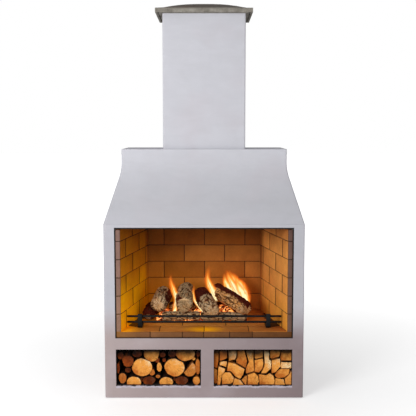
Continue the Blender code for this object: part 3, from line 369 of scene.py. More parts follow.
def firebrick_finish(look):
    """Pressed and fired clay brick, dry and matt.

    Gives the eye tan bricks that each differ a little, with speckle, fine pits and sooty arrises. The
    back is browner under the lintel. Painted firelight makes the sides yellow low on the left and orange
    on the right, lights the hearth in front of the embers, and shines as a faint emission. The front
    edges are painted darker to the right as shade, and painted shadow runs black where the lining meets
    the render.
    """
    material, add, shader = new_finish("pressed_firebrick", Roughness=0.9, Specular_IOR_Level=0.15)
    place = add("TexCoord").outputs["Object"]
    own = add("Attribute", attribute_name="tone").outputs["Fac"]
    parts = add("SeparateXYZ", [place]).outputs
    brick = add("ValToRGB", [own], {0.0: look.brown, 0.5: look.tan, 1.0: look.light})
    # The back: soot from a third of the way up, thickest under the lintel
    wavy = add("Math MULTIPLY_ADD", [add("TexNoise", [place, 5, 4]), 0.16, parts["Z"]])
    soot = add("MapRange", [wavy, 0.5, 1.04, 0, look.soot_amount])
    back = add("Mix RGBA", [soot, brick, look.soot])
    # The sides, by height: painted firelight, yellow low on the left and orange on the right, darker
    # towards the lintel
    rise = add("MapRange", [wavy, 0.46, 1.04])
    stops = {0.0: look.left_low, 0.36: look.left_low, 0.52: look.left_middle, 0.9: look.left_top}
    left = add("ValToRGB", [rise], stops)
    stops = {0.0: look.right_low, 0.4: look.right_middle, 0.75: look.right_middle, 1.0: look.right_top}
    right = add("ValToRGB", [rise], stops)
    sides = add("Mix RGBA", [add("Math GREATER_THAN", [parts["X"], 0.0]), left, right])
    width = add("Math ABSOLUTE", [parts["X"]])
    beside = add("MapRange", [width, BACK_HALF_LENGTH - 16 * MM, BACK_HALF_LENGTH - 2 * MM])
    wall = add("Mix RGBA", [beside, back, sides])
    # The hearth, with a yellow patch of painted firelight in front of the embers and at the left
    across = add("VectorMath SUBTRACT", [place, (0.0, -0.255, FLOOR_LEVEL)])
    away = add("VectorMath LENGTH", [add("VectorMath MULTIPLY", [across, (1.0, 1.5, 0.0)])])
    near = add("MapRange", [away, 0.13, 0.02])
    firelit_patch = add("Math MAXIMUM", [near, add("MapRange", [parts["X"], -0.33, -0.46])])
    floor_tan = add("ValToRGB", [own], {0.0: look.tan, 1.0: look.hearth_light})
    floor = add("Mix RGBA", [firelit_patch, floor_tan, look.left_low])
    low = add("Math LESS_THAN", [parts["Z"], FLOOR_LEVEL + 0.1 * MM])
    inside = add("Mix RGBA", [low, wall, floor])
    # The front edges face the weather, mauve brown, with painted shade that makes them darker to the right
    edge = add("MapRange", [parts["Y"], LINING_FRONT + 0.5 * MM, LINING_FRONT + 3 * MM, 0.92, 0.0])
    share = add("MapRange", [parts["X"], -0.4, 0.4])
    upright = add("ValToRGB", [share], {0.0: look.weathered, 1.0: look.front_edge_shaded_right})
    slips = add("ValToRGB", [share], {0.0: look.facing, 1.0: look.facing_shaded_right})
    faced = add("Mix RGBA", [edge, inside, add("Mix RGBA", [low, upright, slips])])
    # Each brick's own tone, 3 to 6 mm grog in the clay, and clouds across each brick
    speck = add("TexNoise", [place, 130, 4, 0.7])
    mixed = add("Math MULTIPLY_ADD", [speck, 0.8, add("TexNoise", [place, 14, 5, 0.6])])
    spread = add("MapRange", [add("Math MULTIPLY_ADD", [own, 0.25, mixed]), 0.62, 1.42, 0.76, 1.22])
    final = add("Mix RGBA", [1.0, faced, spread], blend_type="MULTIPLY")
    # Sooty arrises, and a black edge of painted shadow where the lining meets the render
    arris = add("Attribute", attribute_name="arris").outputs["Fac"]
    rim = add("MapRange", [width, OUTER_FRONT - 4.5 * MM, OUTER_FRONT - 2.5 * MM])
    outer = add("Math MULTIPLY", [rim, edge])
    black = add("Math MULTIPLY", [arris, look.arris_soot])
    # On the sides, soot has crept out of the upright joints
    span = add("Attribute", attribute_name="span").outputs["Vector"]
    length = add("Attribute", attribute_name="length").outputs["Fac"]
    from_middle = add("SeparateXYZ", [span]).outputs["X"]
    off = add("Math ABSOLUTE", [from_middle])
    end = add("Math SUBTRACT", [add("Math MULTIPLY", [length, 0.5]), off])
    crept = add("MapRange", [end, look.joint_soot, 0.3 * look.joint_soot, 0, 0.85])
    laid = add("Math GREATER_THAN", [length, 0.01])
    within = add("Math SUBTRACT", [1.0, edge])
    crept_side = add("Math MULTIPLY", [add("Math MULTIPLY", [crept, within]), beside])
    both_soots = add("Math MAXIMUM", [black, add("Math MULTIPLY", [crept_side, laid])])
    dark = add("Math MAXIMUM", [both_soots, outer])
    edged = add("Mix RGBA", [dark, final, look.dark_joint_and_shadow])
    # Painted firelight: the bricks emit faintly, most low on the left, behind the fire and in front of the
    # embers
    left_wall = add("MapRange", [parts["X"], -0.36, -0.42])
    left_low = add("MapRange", [wavy, 0.74, 0.5], interpolation_type="SMOOTHSTEP")
    left_firelit = add("Math MULTIPLY", [left_wall, left_low])
    behind = add("VectorMath SUBTRACT", [place, (-0.24, 0.26, 0.47)])
    reach = add("VectorMath LENGTH", [add("VectorMath MULTIPLY", [behind, (1.0, 0.6, 1.8)])])
    hot = add("Math MAXIMUM", [left_firelit, add("MapRange", [reach, 0.55, 0.05, 0, 0.55])])
    hottest = add("Math MAXIMUM", [add("Math MULTIPLY", [near, 0.8]), hot])
    glowing = add("Math MULTIPLY", [hottest, add("Math SUBTRACT", [1.0, dark])])
    power = add("Math MULTIPLY", [add("Math MULTIPLY", [glowing, within]), look.glow])
    sunk = add("MapRange", [add("TexVoronoi", [place, 160]), 0.05, 0.3])
    shallow = add("Bump", {"Strength": 0.5, "Distance": 0.8 * MM, "Height": sunk})
    rough = add("Bump", {"Strength": 0.6, "Distance": 1.0 * MM, "Height": mixed, "Normal": shallow})
    feed(shader, {"Base Color": edged, "Normal": rough})
    feed(shader, {"Emission Strength": power, "Emission Color": look.firelight_colour})
    return material


def cement_finish(look):
    """Fire cement, raked back in the joints: dark brown, gritty and sooty."""
    material, add, shader = new_finish("raked_fire_cement", Roughness=0.95, IOR=1.45)
    place = add("TexCoord").outputs["Object"]
    grit = add("TexNoise", [place, 240, 3])
    tone = add("ValToRGB", [grit], {0.3: look.dark_joint_and_shadow, 0.7: look.joint_light})
    bump = add("Bump", {"Strength": 0.7, "Distance": 0.8 * MM, "Height": grit})
    feed(shader, {"Base Color": tone, "Normal": bump})
    return material


def cap_finish(look):
    """Cast concrete that has stood in the weather.

    Gives the eye a mottled grey-brown band, a darker top with brown lichen streaks, and open pores.
    """
    material, add, shader = new_finish("weathered_cast_concrete", Roughness=0.93, IOR=1.45)
    place = add("TexCoord").outputs["Object"]
    parts = add("SeparateXYZ", [place])
    mottle = add("TexNoise", [place, 26, 6, 0.68])
    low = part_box("chimney_cap")[0][2]
    wavy = add("Math MULTIPLY_ADD", [mottle, 0.022, parts.outputs["Z"]])
    up = add("MapRange", [wavy, low + 0.03, low + 0.046])
    band = add("ValToRGB", [mottle], {0.3: look.band_dark, 0.52: look.band, 0.72: look.band_light})
    top = add("ValToRGB", [mottle], {0.32: look.top_dark, 0.62: look.top, 0.8: look.band})
    both = add("Mix RGBA", [up, band, top])
    streak = add("TexNoise", [add("Mapping", {"Vector": place, "Scale": (3.2, 9, 30)}), 1.3, 4])
    above = add("Math MULTIPLY", [add("MapRange", [streak, 0.5, 0.68, 0, 0.65]), up])
    stained = add("Mix RGBA", [above, both, look.lichen])
    sunk = add("MapRange", [add("TexVoronoi", [place, 120]), 0.04, 0.22])
    first = add("Bump", {"Strength": 0.6, "Distance": 1.2 * MM, "Height": sunk})
    second = add("Bump", {"Strength": 0.8, "Distance": 2.0 * MM, "Height": mottle, "Normal": first})
    feed(shader, {"Base Color": stained, "Normal": second})
    return material


def pumice_finish():
    """Cast pumice concrete, as it leaves the mould: dull grey, open and pitted."""
    material, add, shader = new_finish("cast_pumice", Roughness=0.96, IOR=1.45)
    place = add("TexCoord").outputs["Object"]
    pores = add("TexVoronoi", [place, 110])
    cloud = add("TexNoise", [place, 20, 6, 0.7])
    tone = add("ValToRGB", [cloud], {0.3: "#67625d", 0.55: "#8b8680", 0.8: "#a39e97"})
    holes = add("MapRange", [pores, 0.06, 0.28, 0.55])
    pitted = add("Mix RGBA", [1.0, tone, holes], blend_type="MULTIPLY")
    # Painted shade: the inside of the stores is near black
    level = add("SeparateXYZ", [place]).outputs["Z"]
    above = add("Math GREATER_THAN", [level, STORE_FLOOR - 0.2 * MM])
    stored = add("Math MULTIPLY", [above, add("Math LESS_THAN", [level, STORE_HEAD + 0.2 * MM])])
    final = add("Mix RGBA", [stored, pitted, "#17100c"])
    bump = add("Bump", {"Strength": 0.9, "Distance": 2.0 * MM, "Height": holes})
    feed(shader, {"Base Color": final, "Normal": bump})
    return material


def clay_finish():
    """Terracotta, extruded and fired: orange brown with paler kiln marks and faint throwing lines."""
    material, add, shader = new_finish("fired_terracotta", Roughness=0.8, IOR=1.5)
    place = add("TexCoord").outputs["Object"]
    cloud = add("TexNoise", [place, 16, 5])
    tone = add("ValToRGB", [cloud], {0.3: "#7c4328", 0.55: "#a2623f", 0.8: "#bd8261"})
    lines = add("TexNoise", [add("Mapping", {"Vector": place, "Scale": (4, 4, 300)}), 1.0, 2])
    bump = add("Bump", {"Strength": 0.4, "Distance": 0.5 * MM, "Height": lines})
    feed(shader, {"Base Color": tone, "Normal": bump})
    return material


def guard_finish(look):
    """Heat-proof black paint on mild steel, brushed on and dulled by heat.

    Gives the eye a near-black with a cold tinge, grey ash in the low places and rubbed edges.
    """
    material, add, shader = new_finish("heatproof_black_paint", Specular_IOR_Level=0.2)
    place = add("TexCoord").outputs["Object"]
    worn = add("TexNoise", [place, 60, 6, 0.7])
    tone = add("ValToRGB", [worn], {0.35: look.black, 0.62: look.black, 0.78: look.ash})
    gloss = add("MapRange", [worn, 0.3, 0.7, 0.42, 0.7])
    brush = add("TexNoise", [place, 500, 2])
    bump = add("Bump", {"Strength": 0.35, "Distance": 0.3 * MM, "Height": brush})
    feed(shader, {"Base Color": tone, "Roughness": gloss, "Normal": bump})
    return material


def burning_finish(look):
    """Hardwood in the fire: bark, char, wood ash and embers.

    Gives the eye grey and tan bark with long grooves, blistered black-maroon char, a bloom of pale ash
    on top, and red embers where the wood still burns. Its own attributes say where each one lies.
    """
    material, add, shader = new_finish("burning_hardwood", Roughness=0.92, Specular_IOR_Level=0.15)
    grain = add("Attribute", attribute_name="grain").outputs["Vector"]
    names = ("char", "ash", "cut", "warm", "heat", "groove")
    own = [add("Attribute", attribute_name=name) for name in names]
    char, ash, cut, warm, heat, groove = (layer.outputs["Fac"] for layer in own)
    # Fibres 3 mm across and 25 mm long
    fibre = add("TexNoise", [add("Mapping", {"Vector": grain, "Scale": (42, 330, 330)}), 1.0, 4])
    fleck = add("TexNoise", [grain, 120, 5, 0.7])
    bark = add("ValToRGB", [fibre], {0.32: look.bark_dark, 0.5: look.bark, 0.68: look.bark_light})
    tan = add("ValToRGB", [fibre], {0.3: look.tan_dark, 0.52: look.tan, 0.7: look.tan_light})
    wood = add("ValToRGB", [fleck], {0.3: look.wood_dark, 0.5: look.wood, 0.7: look.wood_light})
    black = add("ValToRGB", [fleck], {0.35: look.char_dark, 0.55: look.char, 0.75: look.char_light})
    second = add("Mix RGBA", [cut, add("Mix RGBA", [warm, bark, tan]), wood])
    # Ash lies on what stands out and misses the grooves
    high = add("MapRange", [groove, 0.9, 0.3])
    lying = add("Math MULTIPLY", [high, add("MapRange", [fleck, 0.4, 0.62, 0, 0.75])])
    third = add("Mix RGBA", [add("Math MULTIPLY", [lying, ash]), second, look.ash])
    deep = add("Mix RGBA", [add("MapRange", [groove, 0.35, 0.85, 0, 0.92]), third, look.bark_deep])
    burnt = add("MapRange", [add("Math MULTIPLY_ADD", [fleck, 0.7, char]), 0.7, 0.95])
    fourth = add("Mix RGBA", [burnt, deep, black])
    coal = add("Math MULTIPLY_ADD", [fleck, 0.7, heat])
    lit = add("MapRange", [coal, 0.72, 1.3, 0, look.ember_power])
    fire = add("ValToRGB", [coal], {0.6: look.ember_dark, 0.85: look.ember, 1.0: look.ember_hot})
    relief = add("Math ADD", [fibre, fleck])
    bump = add("Bump", {"Strength": 0.8, "Distance": 1.6 * MM, "Height": relief})
    feed(shader, {"Base Color": fourth, "Emission Strength": lit, "Emission Color": fire, "Normal": bump})
    return material


def flame_finish(look):
    """Wood flame: a clear gas that shines.

    Gives the eye a pale yellow heart that turns orange towards soft edges, in long streaks. Its own UV
    map runs from one edge to the other and from root to tip.
    """
    dark = {"Base_Color": "#000000", "Specular_IOR_Level": 0}
    material, add, shader = new_finish("wood_flame", Roughness=1.0, **dark)
    parts = add("SeparateXYZ", [add("UVMap", uv_map="flame")])
    place = add("TexCoord").outputs["Object"]
    streak_place = add("Mapping", {"Vector": place, "Scale": (60, 60, 14)})
    streak = add("TexNoise", {"Vector": streak_place, "Scale": 1.0, "Detail": 3, "Distortion": 0.6})
    off = add("Math ABSOLUTE", [add("Math MULTIPLY_ADD", [parts.outputs["X"], 2.0, -1.0])])
    ragged = add("Math MULTIPLY_ADD", [streak, 0.7, off])
    body = add("MapRange", [ragged, 1.28, 0.62], interpolation_type="SMOOTHSTEP")
    tip = add("MapRange", [parts.outputs["Y"], 1.0, 0.55], interpolation_type="SMOOTHSTEP")
    root = add("MapRange", [parts.outputs["Y"], 0.0, 0.12], interpolation_type="SMOOTHSTEP")
    veil = add("Math MULTIPLY", [add("Math MULTIPLY", [body, tip]), root])
    clear = add("Math MULTIPLY", [veil, look.flame_cover])
    core = add("MapRange", [ragged, 1.15, 0.4])
    hot = add("Math MULTIPLY", [core, add("MapRange", [parts.outputs["Y"], 1.05, 0.25])])
    stops = {0.0: look.flame_edge, 0.3: look.flame, 0.48: look.flame_yellow, 0.66: look.flame_heart}
    colour = add("ValToRGB", [hot], stops)
    feed(shader, {"Alpha": clear, "Emission Color": colour, "Emission Strength": look.flame_power})
    return material


def firewood_finish(look):
    """Softwood firewood, sawn and split, stored dry.

    Gives the eye orange-tan ends with growth rings, rays and drying cracks that run out from the pith,
    paler fresh patches, darker sap, thin dark bark, and painted shade that darkens the ends under the
    ceiling of the store. Painted highlight and shade lean across each end, paler to the upper right and
    darker to the lower left. Its own attributes say where each log's pith, bark and rim are, and how
    dark it is.
    """
    material, add, shader = new_finish("dry_softwood_firewood", Roughness=0.9, Specular_IOR_Level=0.15)
    grain = add("Attribute", attribute_name="grain").outputs["Vector"]
    own = [add("Attribute", attribute_name=name) for name in ("tone", "rim", "barked")]
    tone, rim, barked = (layer.outputs["Fac"] for layer in own)
    parts = add("SeparateXYZ", [grain]).outputs
    out = add("VectorMath LENGTH", [add("VectorMath MULTIPLY", [grain, (1, 0, 1)])])
    turn = add("Math ARCTAN2", [parts["Z"], parts["X"]])
    shift = add("Math MULTIPLY", [tone, 77.3])
    wide = {"Vector": grain, "W": shift, "Scale": 22, "Detail": 4}
    wobble = add("TexNoise", wide, noise_dimensions="4D")
    # Growth rings 3 mm apart, drawn at 5 mm so that they show
    warped = add("Math MULTIPLY_ADD", [wobble, 0.016, out])
    wave = add("Math SINE", [add("Math MULTIPLY", [warped, math.tau / look.ring_spacing])])
    ring = add("MapRange", [wave, -1.0, 1.0, 0.8, 1.06])
    stops = {0.0: look.dark, 0.28: look.red, 0.55: look.brown, 0.78: look.tan, 1.0: look.bright}
    face = add("ValToRGB", [tone], stops)
    ringed = add("Mix RGBA", [1.0, face, ring], blend_type="MULTIPLY")
    # Fresh pale patches and darker sap, 20 to 40 mm across, with painted highlight and shade that lean
    # across each end: paler to the upper right, darker to the lower left
    small = {"Vector": grain, "W": shift, "Scale": 34, "Detail": 5, "Roughness": 0.7}
    patch = add("TexNoise", small, noise_dimensions="4D")
    patch_and_sheen = add("Math ADD", [patch, add("VectorMath DOT_PRODUCT", [grain, (3.2, 0, 3.2)])])
    fresh_and_highlight = add("Mix RGBA", [add("MapRange", [patch_and_sheen, 0.6, 0.84, 0, tone]), ringed, look.fresh_and_highlight])
    stained = add("Mix RGBA", [add("MapRange", [patch_and_sheen, 0.5, 0.24, 0, 0.75]), fresh_and_highlight, look.sap_and_shade])
    # Rays 2 mm apart run out from the pith, and some open into cracks
    ray_long = add("Mapping", {"Vector": add("CombineXYZ", [turn, shift, out]), "Scale": (9, 1, 9)})
    ray = add("TexNoise", [ray_long, 1.0, 5, 0.65])
    streaked = add("Mix RGBA", [add("MapRange", [ray, 0.54, 0.72, 0, 0.6]), stained, look.sap_and_shade])
    line = add("Math ABSOLUTE", [add("Math SUBTRACT", [ray, 0.5])])
    thin = add("MapRange", [line, 0.014, 0.005])
    split = add("Math MULTIPLY", [thin, add("MapRange", [wobble, 0.5, 0.58])])
    cracked = add("Mix RGBA", [split, streaked, look.crack])
    # The outermost few millimetres have darkened
    brown = add("MapRange", [add("Math MULTIPLY_ADD", [patch, 0.5, rim]), 0.72, 1.15, 0, 0.85])
    edged = add("Mix RGBA", [brown, cracked, look.rim])
    # Bark in long plates
    bark_long = add("Mapping", {"Vector": grain, "Scale": (60, 14, 60)})
    plates = add("TexNoise", [bark_long, 1.0, 6, 0.7])
    bark = add("ValToRGB", [plates], {0.35: look.bark_dark, 0.55: look.bark, 0.75: look.bark_light})
    cover = add("MapRange", [barked, 0.55, 0.75])
    whole = add("Mix RGBA", [cover, edged, bark])
    # Painted shade under the ceiling of the store: the ends darken towards it
    place = add("TexCoord").outputs["Object"]
    level = add("SeparateXYZ", [place]).outputs["Z"]
    high = add("Math MULTIPLY_ADD", [wobble, 0.05, level])
    lit = add("MapRange", [high, STORE_HEAD + 6 * MM, STORE_HEAD - look.ceiling_shade_depth, look.dust])
    # Only the ends are that dark: the bark behind them keeps most of its light
    share = add("Math MAXIMUM", [lit, add("Math MULTIPLY", [cover, look.bark_kept])])
    final = add("Mix RGBA", [1.0, whole, share], blend_type="MULTIPLY")
    relief = add("Math ADD", [ray, plates])
    bump = add("Bump", {"Strength": 0.8, "Distance": 1.8 * MM, "Height": relief})
    feed(shader, {"Base Color": final, "Normal": bump})
    return material


# Settings


def colour(name, description, code):
    """A colour in the sidebar, with an sRGB hex default."""
    words = {"name": name, "description": description, "default": shade(code)}
    return bpy.props.FloatVectorProperty(**words, subtype="COLOR", size=3, min=0, max=1)


def metres(name, description, default):
    """A length in the sidebar."""
    return bpy.props.FloatProperty(name=name, description=description, default=default, unit="LENGTH")


def amount(name, description, default):
    """A number in the sidebar."""
    return bpy.props.FloatProperty(name=name, description=description, default=default)


class FIREPLACE_PG_render(bpy.types.PropertyGroup):
    # Painted light from above: the chimney is set lighter than the hood and the body
    chimney_colour: colour("Chimney", "Render on the chimney", "#cdcdd4")
    hood_colour: colour("Hood", "Render low on the hood", "#bcbcc2")
    body_colour: colour("Body", "Render beside the firebox", "#bebec5")
    # Painted shade: the base is set lighter to the left and darker to the right
    base_left: colour("Base left", "Render round the log store, left", "#b4a5a4")
    base_colour: colour("Base", "Render round the log store, middle", "#a29394")
    base_right: colour("Base right", "Render round the log store, right", "#8e7f81")
    sill_colour: colour("Sill", "Broken edge below each log store", "#c6bfcb")
    # Painted shadow: the black line round the firebox opening and the dark notches below each store
    shadow_colour: colour("Soot", "Edge of the firebox opening", "#120c0a")
    bloom_colour: colour("Bloom", "Lime bloom in patches", "#c6bdc4")
    mottle: amount("Mottle", "How much the tone wanders", 0.045)


class FIREPLACE_PG_brick(bpy.types.PropertyGroup):
    brick_length: metres("Brick length", "Length of a whole firebrick", 0.250)
    course_height: metres("Course", "Height of a course", 0.100)
    hearth_depth: metres("Hearth row", "Depth of a row on the hearth", 0.150)
    joint: metres("Joint", "Width of a joint", 0.003)
    rake: metres("Rake", "How far the joints are raked back", 0.003)
    side_first_joint: metres("First side joint", "From the front edge", 0.100)
    worn_edge: metres("Worn edge", "Radius of a brick's edges", 0.0020)
    unevenness: metres("Unevenness", "How far faces stand apart", 0.0009)
    facing_depth: metres("Facing", "Depth of the hearth's facing slips", 0.016)
    brown: colour("Brown", "Darkest brick", "#a9622a")
    tan: colour("Tan", "Usual brick", "#bf7430")
    light: colour("Light", "Lightest brick", "#cb803a")
    soot: colour("Soot", "Sooted brick", "#6e3609")
    hearth_light: colour("Hearth light", "Lightest brick of the hearth", "#e09c4c")
    # Painted firelight on the sides: bright low beside the fire, darker under the lintel
    left_low: colour("Left low", "Burnt clean beside the fire", "#ffb300")
    left_middle: colour("Left middle", "Left side, half way up", "#e08d0c")
    left_top: colour("Left top", "Left side, under the lintel", "#a05c08")
    right_low: colour("Right low", "Right side beside the fire", "#e39a36")
    right_middle: colour("Right middle", "Right side, half way up", "#e79a4a")
    right_top: colour("Right top", "Right side, under the lintel", "#a66430")
    # The front edges' mauve brown is their own; painted shade makes the right ones darker
    weathered: colour("Weathered", "Front edges of the lining, left", "#8d7168")
    front_edge_shaded_right: colour("Weathered right", "Front edges, right", "#5f4c4a")
    facing: colour("Facing", "Front of the hearth, left", "#7c5438")
    facing_shaded_right: colour("Facing right", "Front of the hearth, right", "#58351e")
    # Dark fire cement, and the colour of the painted shadow where the lining meets the render
    dark_joint_and_shadow: colour("Joint", "Sooty fire cement", "#140b05")
    joint_light: colour("Joint light", "Cleaner fire cement", "#332011")
    # Painted firelight: the colour and strength of the bricks' faint emission
    firelight_colour: colour("Glow colour", "Bricks heated by the fire", "#ff9a00")
    glow: amount("Glow", "How strongly the hottest bricks glow", 0.22)
    joint_soot: metres("Joint soot", "How far soot creeps from upright side joints", 0.007)
    soot_amount: amount("Soot amount", "Under the lintel", 0.9)
    arris_soot: amount("Arris soot", "On each brick's edges", 0.6)


class FIREPLACE_PG_cap(bpy.types.PropertyGroup):
    band: colour("Band", "Upright edge", "#8a857c")
    band_light: colour("Band light", "Pale patches", "#a5a096")
    band_dark: colour("Band dark", "Dark patches", "#68625a")
    top: colour("Top", "Domed top", "#5f574f")
    top_dark: colour("Top dark", "Dark patches on top", "#463f39")
    lichen: colour("Lichen", "Red-brown streaks on top", "#5f4338")


class FIREPLACE_PG_guard(bpy.types.PropertyGroup):
    black: colour("Black", "Heat-proof paint", "#06090b")
    ash: colour("Ash", "Ash that sticks to it", "#1d2122")
    worn_edge: metres("Worn edge", "Radius of its edges", 0.0008)


class FIREPLACE_PG_fire(bpy.types.PropertyGroup):
    bark_depth: metres("Bark depth", "Depth of the grooves in the bark", 0.0040)
    coal_size: metres("Coal size", "Radius of a usual coal", 0.0085)
    coal_count: bpy.props.IntProperty(name="Coals", description="How many coals lie about", default=420)
    bark: colour("Bark", "Grey bark", "#a88a62")
    bark_light: colour("Bark light", "Ridges of the bark", "#dcc092")
    bark_dark: colour("Bark dark", "Low bark", "#70502f")
    bark_deep: colour("Bark deep", "Grooves", "#3a1c0c")
    tan: colour("Tan", "Warm bark", "#da9650")
    tan_light: colour("Tan light", "Ridges of warm bark", "#f6c684")
    tan_dark: colour("Tan dark", "Low warm bark", "#7d4a20")
    wood: colour("Wood", "Cut end", "#d8ad78")
    wood_light: colour("Wood light", "Pale cut end", "#f2d6a6")
    wood_dark: colour("Wood dark", "Stained cut end", "#8e5c2c")
    char: colour("Char", "Charcoal", "#54190b")
    char_dark: colour("Char dark", "Deep charcoal", "#2a0a04")
    char_light: colour("Char light", "Greyed charcoal", "#7a3c24")
    ash: colour("Ash", "Wood ash", "#d8c6a8")
    ash_low: colour("Ash low", "Ash mixed with charcoal dust", "#a39788")
    ember: colour("Ember", "Glowing wood", "#f2681c")
    ember_hot: colour("Ember hot", "Hottest ember", "#ffc860")
    ember_dark: colour("Ember dark", "Dying ember", "#a82a0a")
    ember_power: amount("Ember power", "Strength of the glow", 1.5)
    flame: colour("Flame", "Orange body", "#ff8a2a")
    flame_edge: colour("Flame edge", "Red-orange edge", "#f0561a")
    flame_yellow: colour("Flame yellow", "Near the heart", "#ffc25c")
    flame_heart: colour("Flame heart", "Pale heart", "#fff1b8")
    flame_power: amount("Flame power", "Strength of the light", 1.15)
    flame_cover: amount("Flame cover", "How dense it looks", 0.95)


class FIREPLACE_PG_firewood(bpy.types.PropertyGroup):
    log_length: metres("Log length", "Length of a stored log", 0.330)
    stack_front: metres("Stack front", "From the face to the nearest ends", 0.012)
    stagger: metres("Stagger", "The most that an end stands back", 0.014)
    headroom: metres("Headroom", "Free height above the logs", 0.009)
    side_room: metres("Side room", "Free width beside the logs", 0.002)
    ring_spacing: metres("Ring spacing", "Distance between growth rings", 0.005)
    # Painted shade under the ceiling of the store: how far down it reaches, and the share of light it
    # leaves
    ceiling_shade_depth: metres("Dust depth", "How far down the dust lies", 0.050)
    dust: amount("Dust", "Share of the light that dust leaves", 0.03)
    bark_kept: amount("Bark kept", "The same on the bark", 0.7)
    dark: colour("Dark", "Darkest log", "#37190a")
    red: colour("Red", "Red-brown log", "#7c3310")
    brown: colour("Brown", "Brown log", "#cc7830")
    tan: colour("Tan", "Usual log", "#f8a94e")
    bright: colour("Bright", "Brightest log", "#ffae50")
    # Fresh and Sap also carry the painted highlight and shade that lean across each end
    fresh_and_highlight: colour("Fresh", "Fresh pale patches", "#ffe2ae")
    sap_and_shade: colour("Sap", "Sap stain and rays", "#b4520e")
    rim: colour("Rim", "Darkened edge of an end", "#8a4a1a")
    crack: colour("Crack", "Drying cracks", "#2e150a")
    bark: colour("Bark", "Bark", "#3a2214")
    bark_light: colour("Bark light", "Ridges of bark", "#5f3c24")
    bark_dark: colour("Bark dark", "Grooves of bark", "#160d08")


class FIREPLACE_PG_stage(bpy.types.PropertyGroup):
    floor: colour("Floor", "Plain floor", "#f4f4f4")
    floor_lift: amount("Floor lift", "Takes it to white", 0.42)
    ambient: amount("Ambient", "Light from all round", 0.38)
    key: amount("Key", "Large soft lamp, front left", 104.0)
    fill: amount("Fill", "Large soft lamp, front right", 28.0)


GROUPS = {
    "fireplace_render": FIREPLACE_PG_render,
    "fireplace_brick": FIREPLACE_PG_brick,
    "fireplace_cap": FIREPLACE_PG_cap,
    "fireplace_guard": FIREPLACE_PG_guard,
    "fireplace_fire": FIREPLACE_PG_fire,
    "fireplace_firewood": FIREPLACE_PG_firewood,
    "fireplace_stage": FIREPLACE_PG_stage,
}


# Render, blocks and cap


class FIREPLACE_OT_render(bpy.types.Operator):
    """Finish the render coat"""

    bl_idname = "fireplace.render_coat"
    bl_label = "Render coat"

    def execute(self, context):
        material = render_finish(context.scene.fireplace_render)
        refinish(("body_coat", "hood_coat", "chimney_coat"), material)
        return {"FINISHED"}


class FIREPLACE_OT_blocks(bpy.types.Operator):
    """Finish the cast blocks and the clay liners behind the render"""

    bl_idname = "fireplace.blocks"
    bl_label = "Blocks and liners"

    def execute(self, context):
        blocks = ["base_slab", "hearth_slab", "lintel_beam", "hood_lower", "hood_upper"]
        blocks += [f"store_{wall}" for wall in ("left_wall", "right_wall", "divider", "back_wall")]
        blocks += [f"firebox_{wall}_wall" for wall in ("left", "right", "back")]
        blocks += [f"chimney_block_{number}" for number in (1, 2, 3)]
        refinish(blocks, pumice_finish())
        refinish([f"flue_liner_{number}" for number in (1, 2, 3)], clay_finish())
        return {"FINISHED"}


class FIREPLACE_OT_cap(bpy.types.Operator):
    """Finish the domed cap"""

    bl_idname = "fireplace.cap"
    bl_label = "Chimney cap"

    def execute(self, context):
        refinish(("chimney_cap",), cap_finish(context.scene.fireplace_cap))
        return {"FINISHED"}


# Firebricks


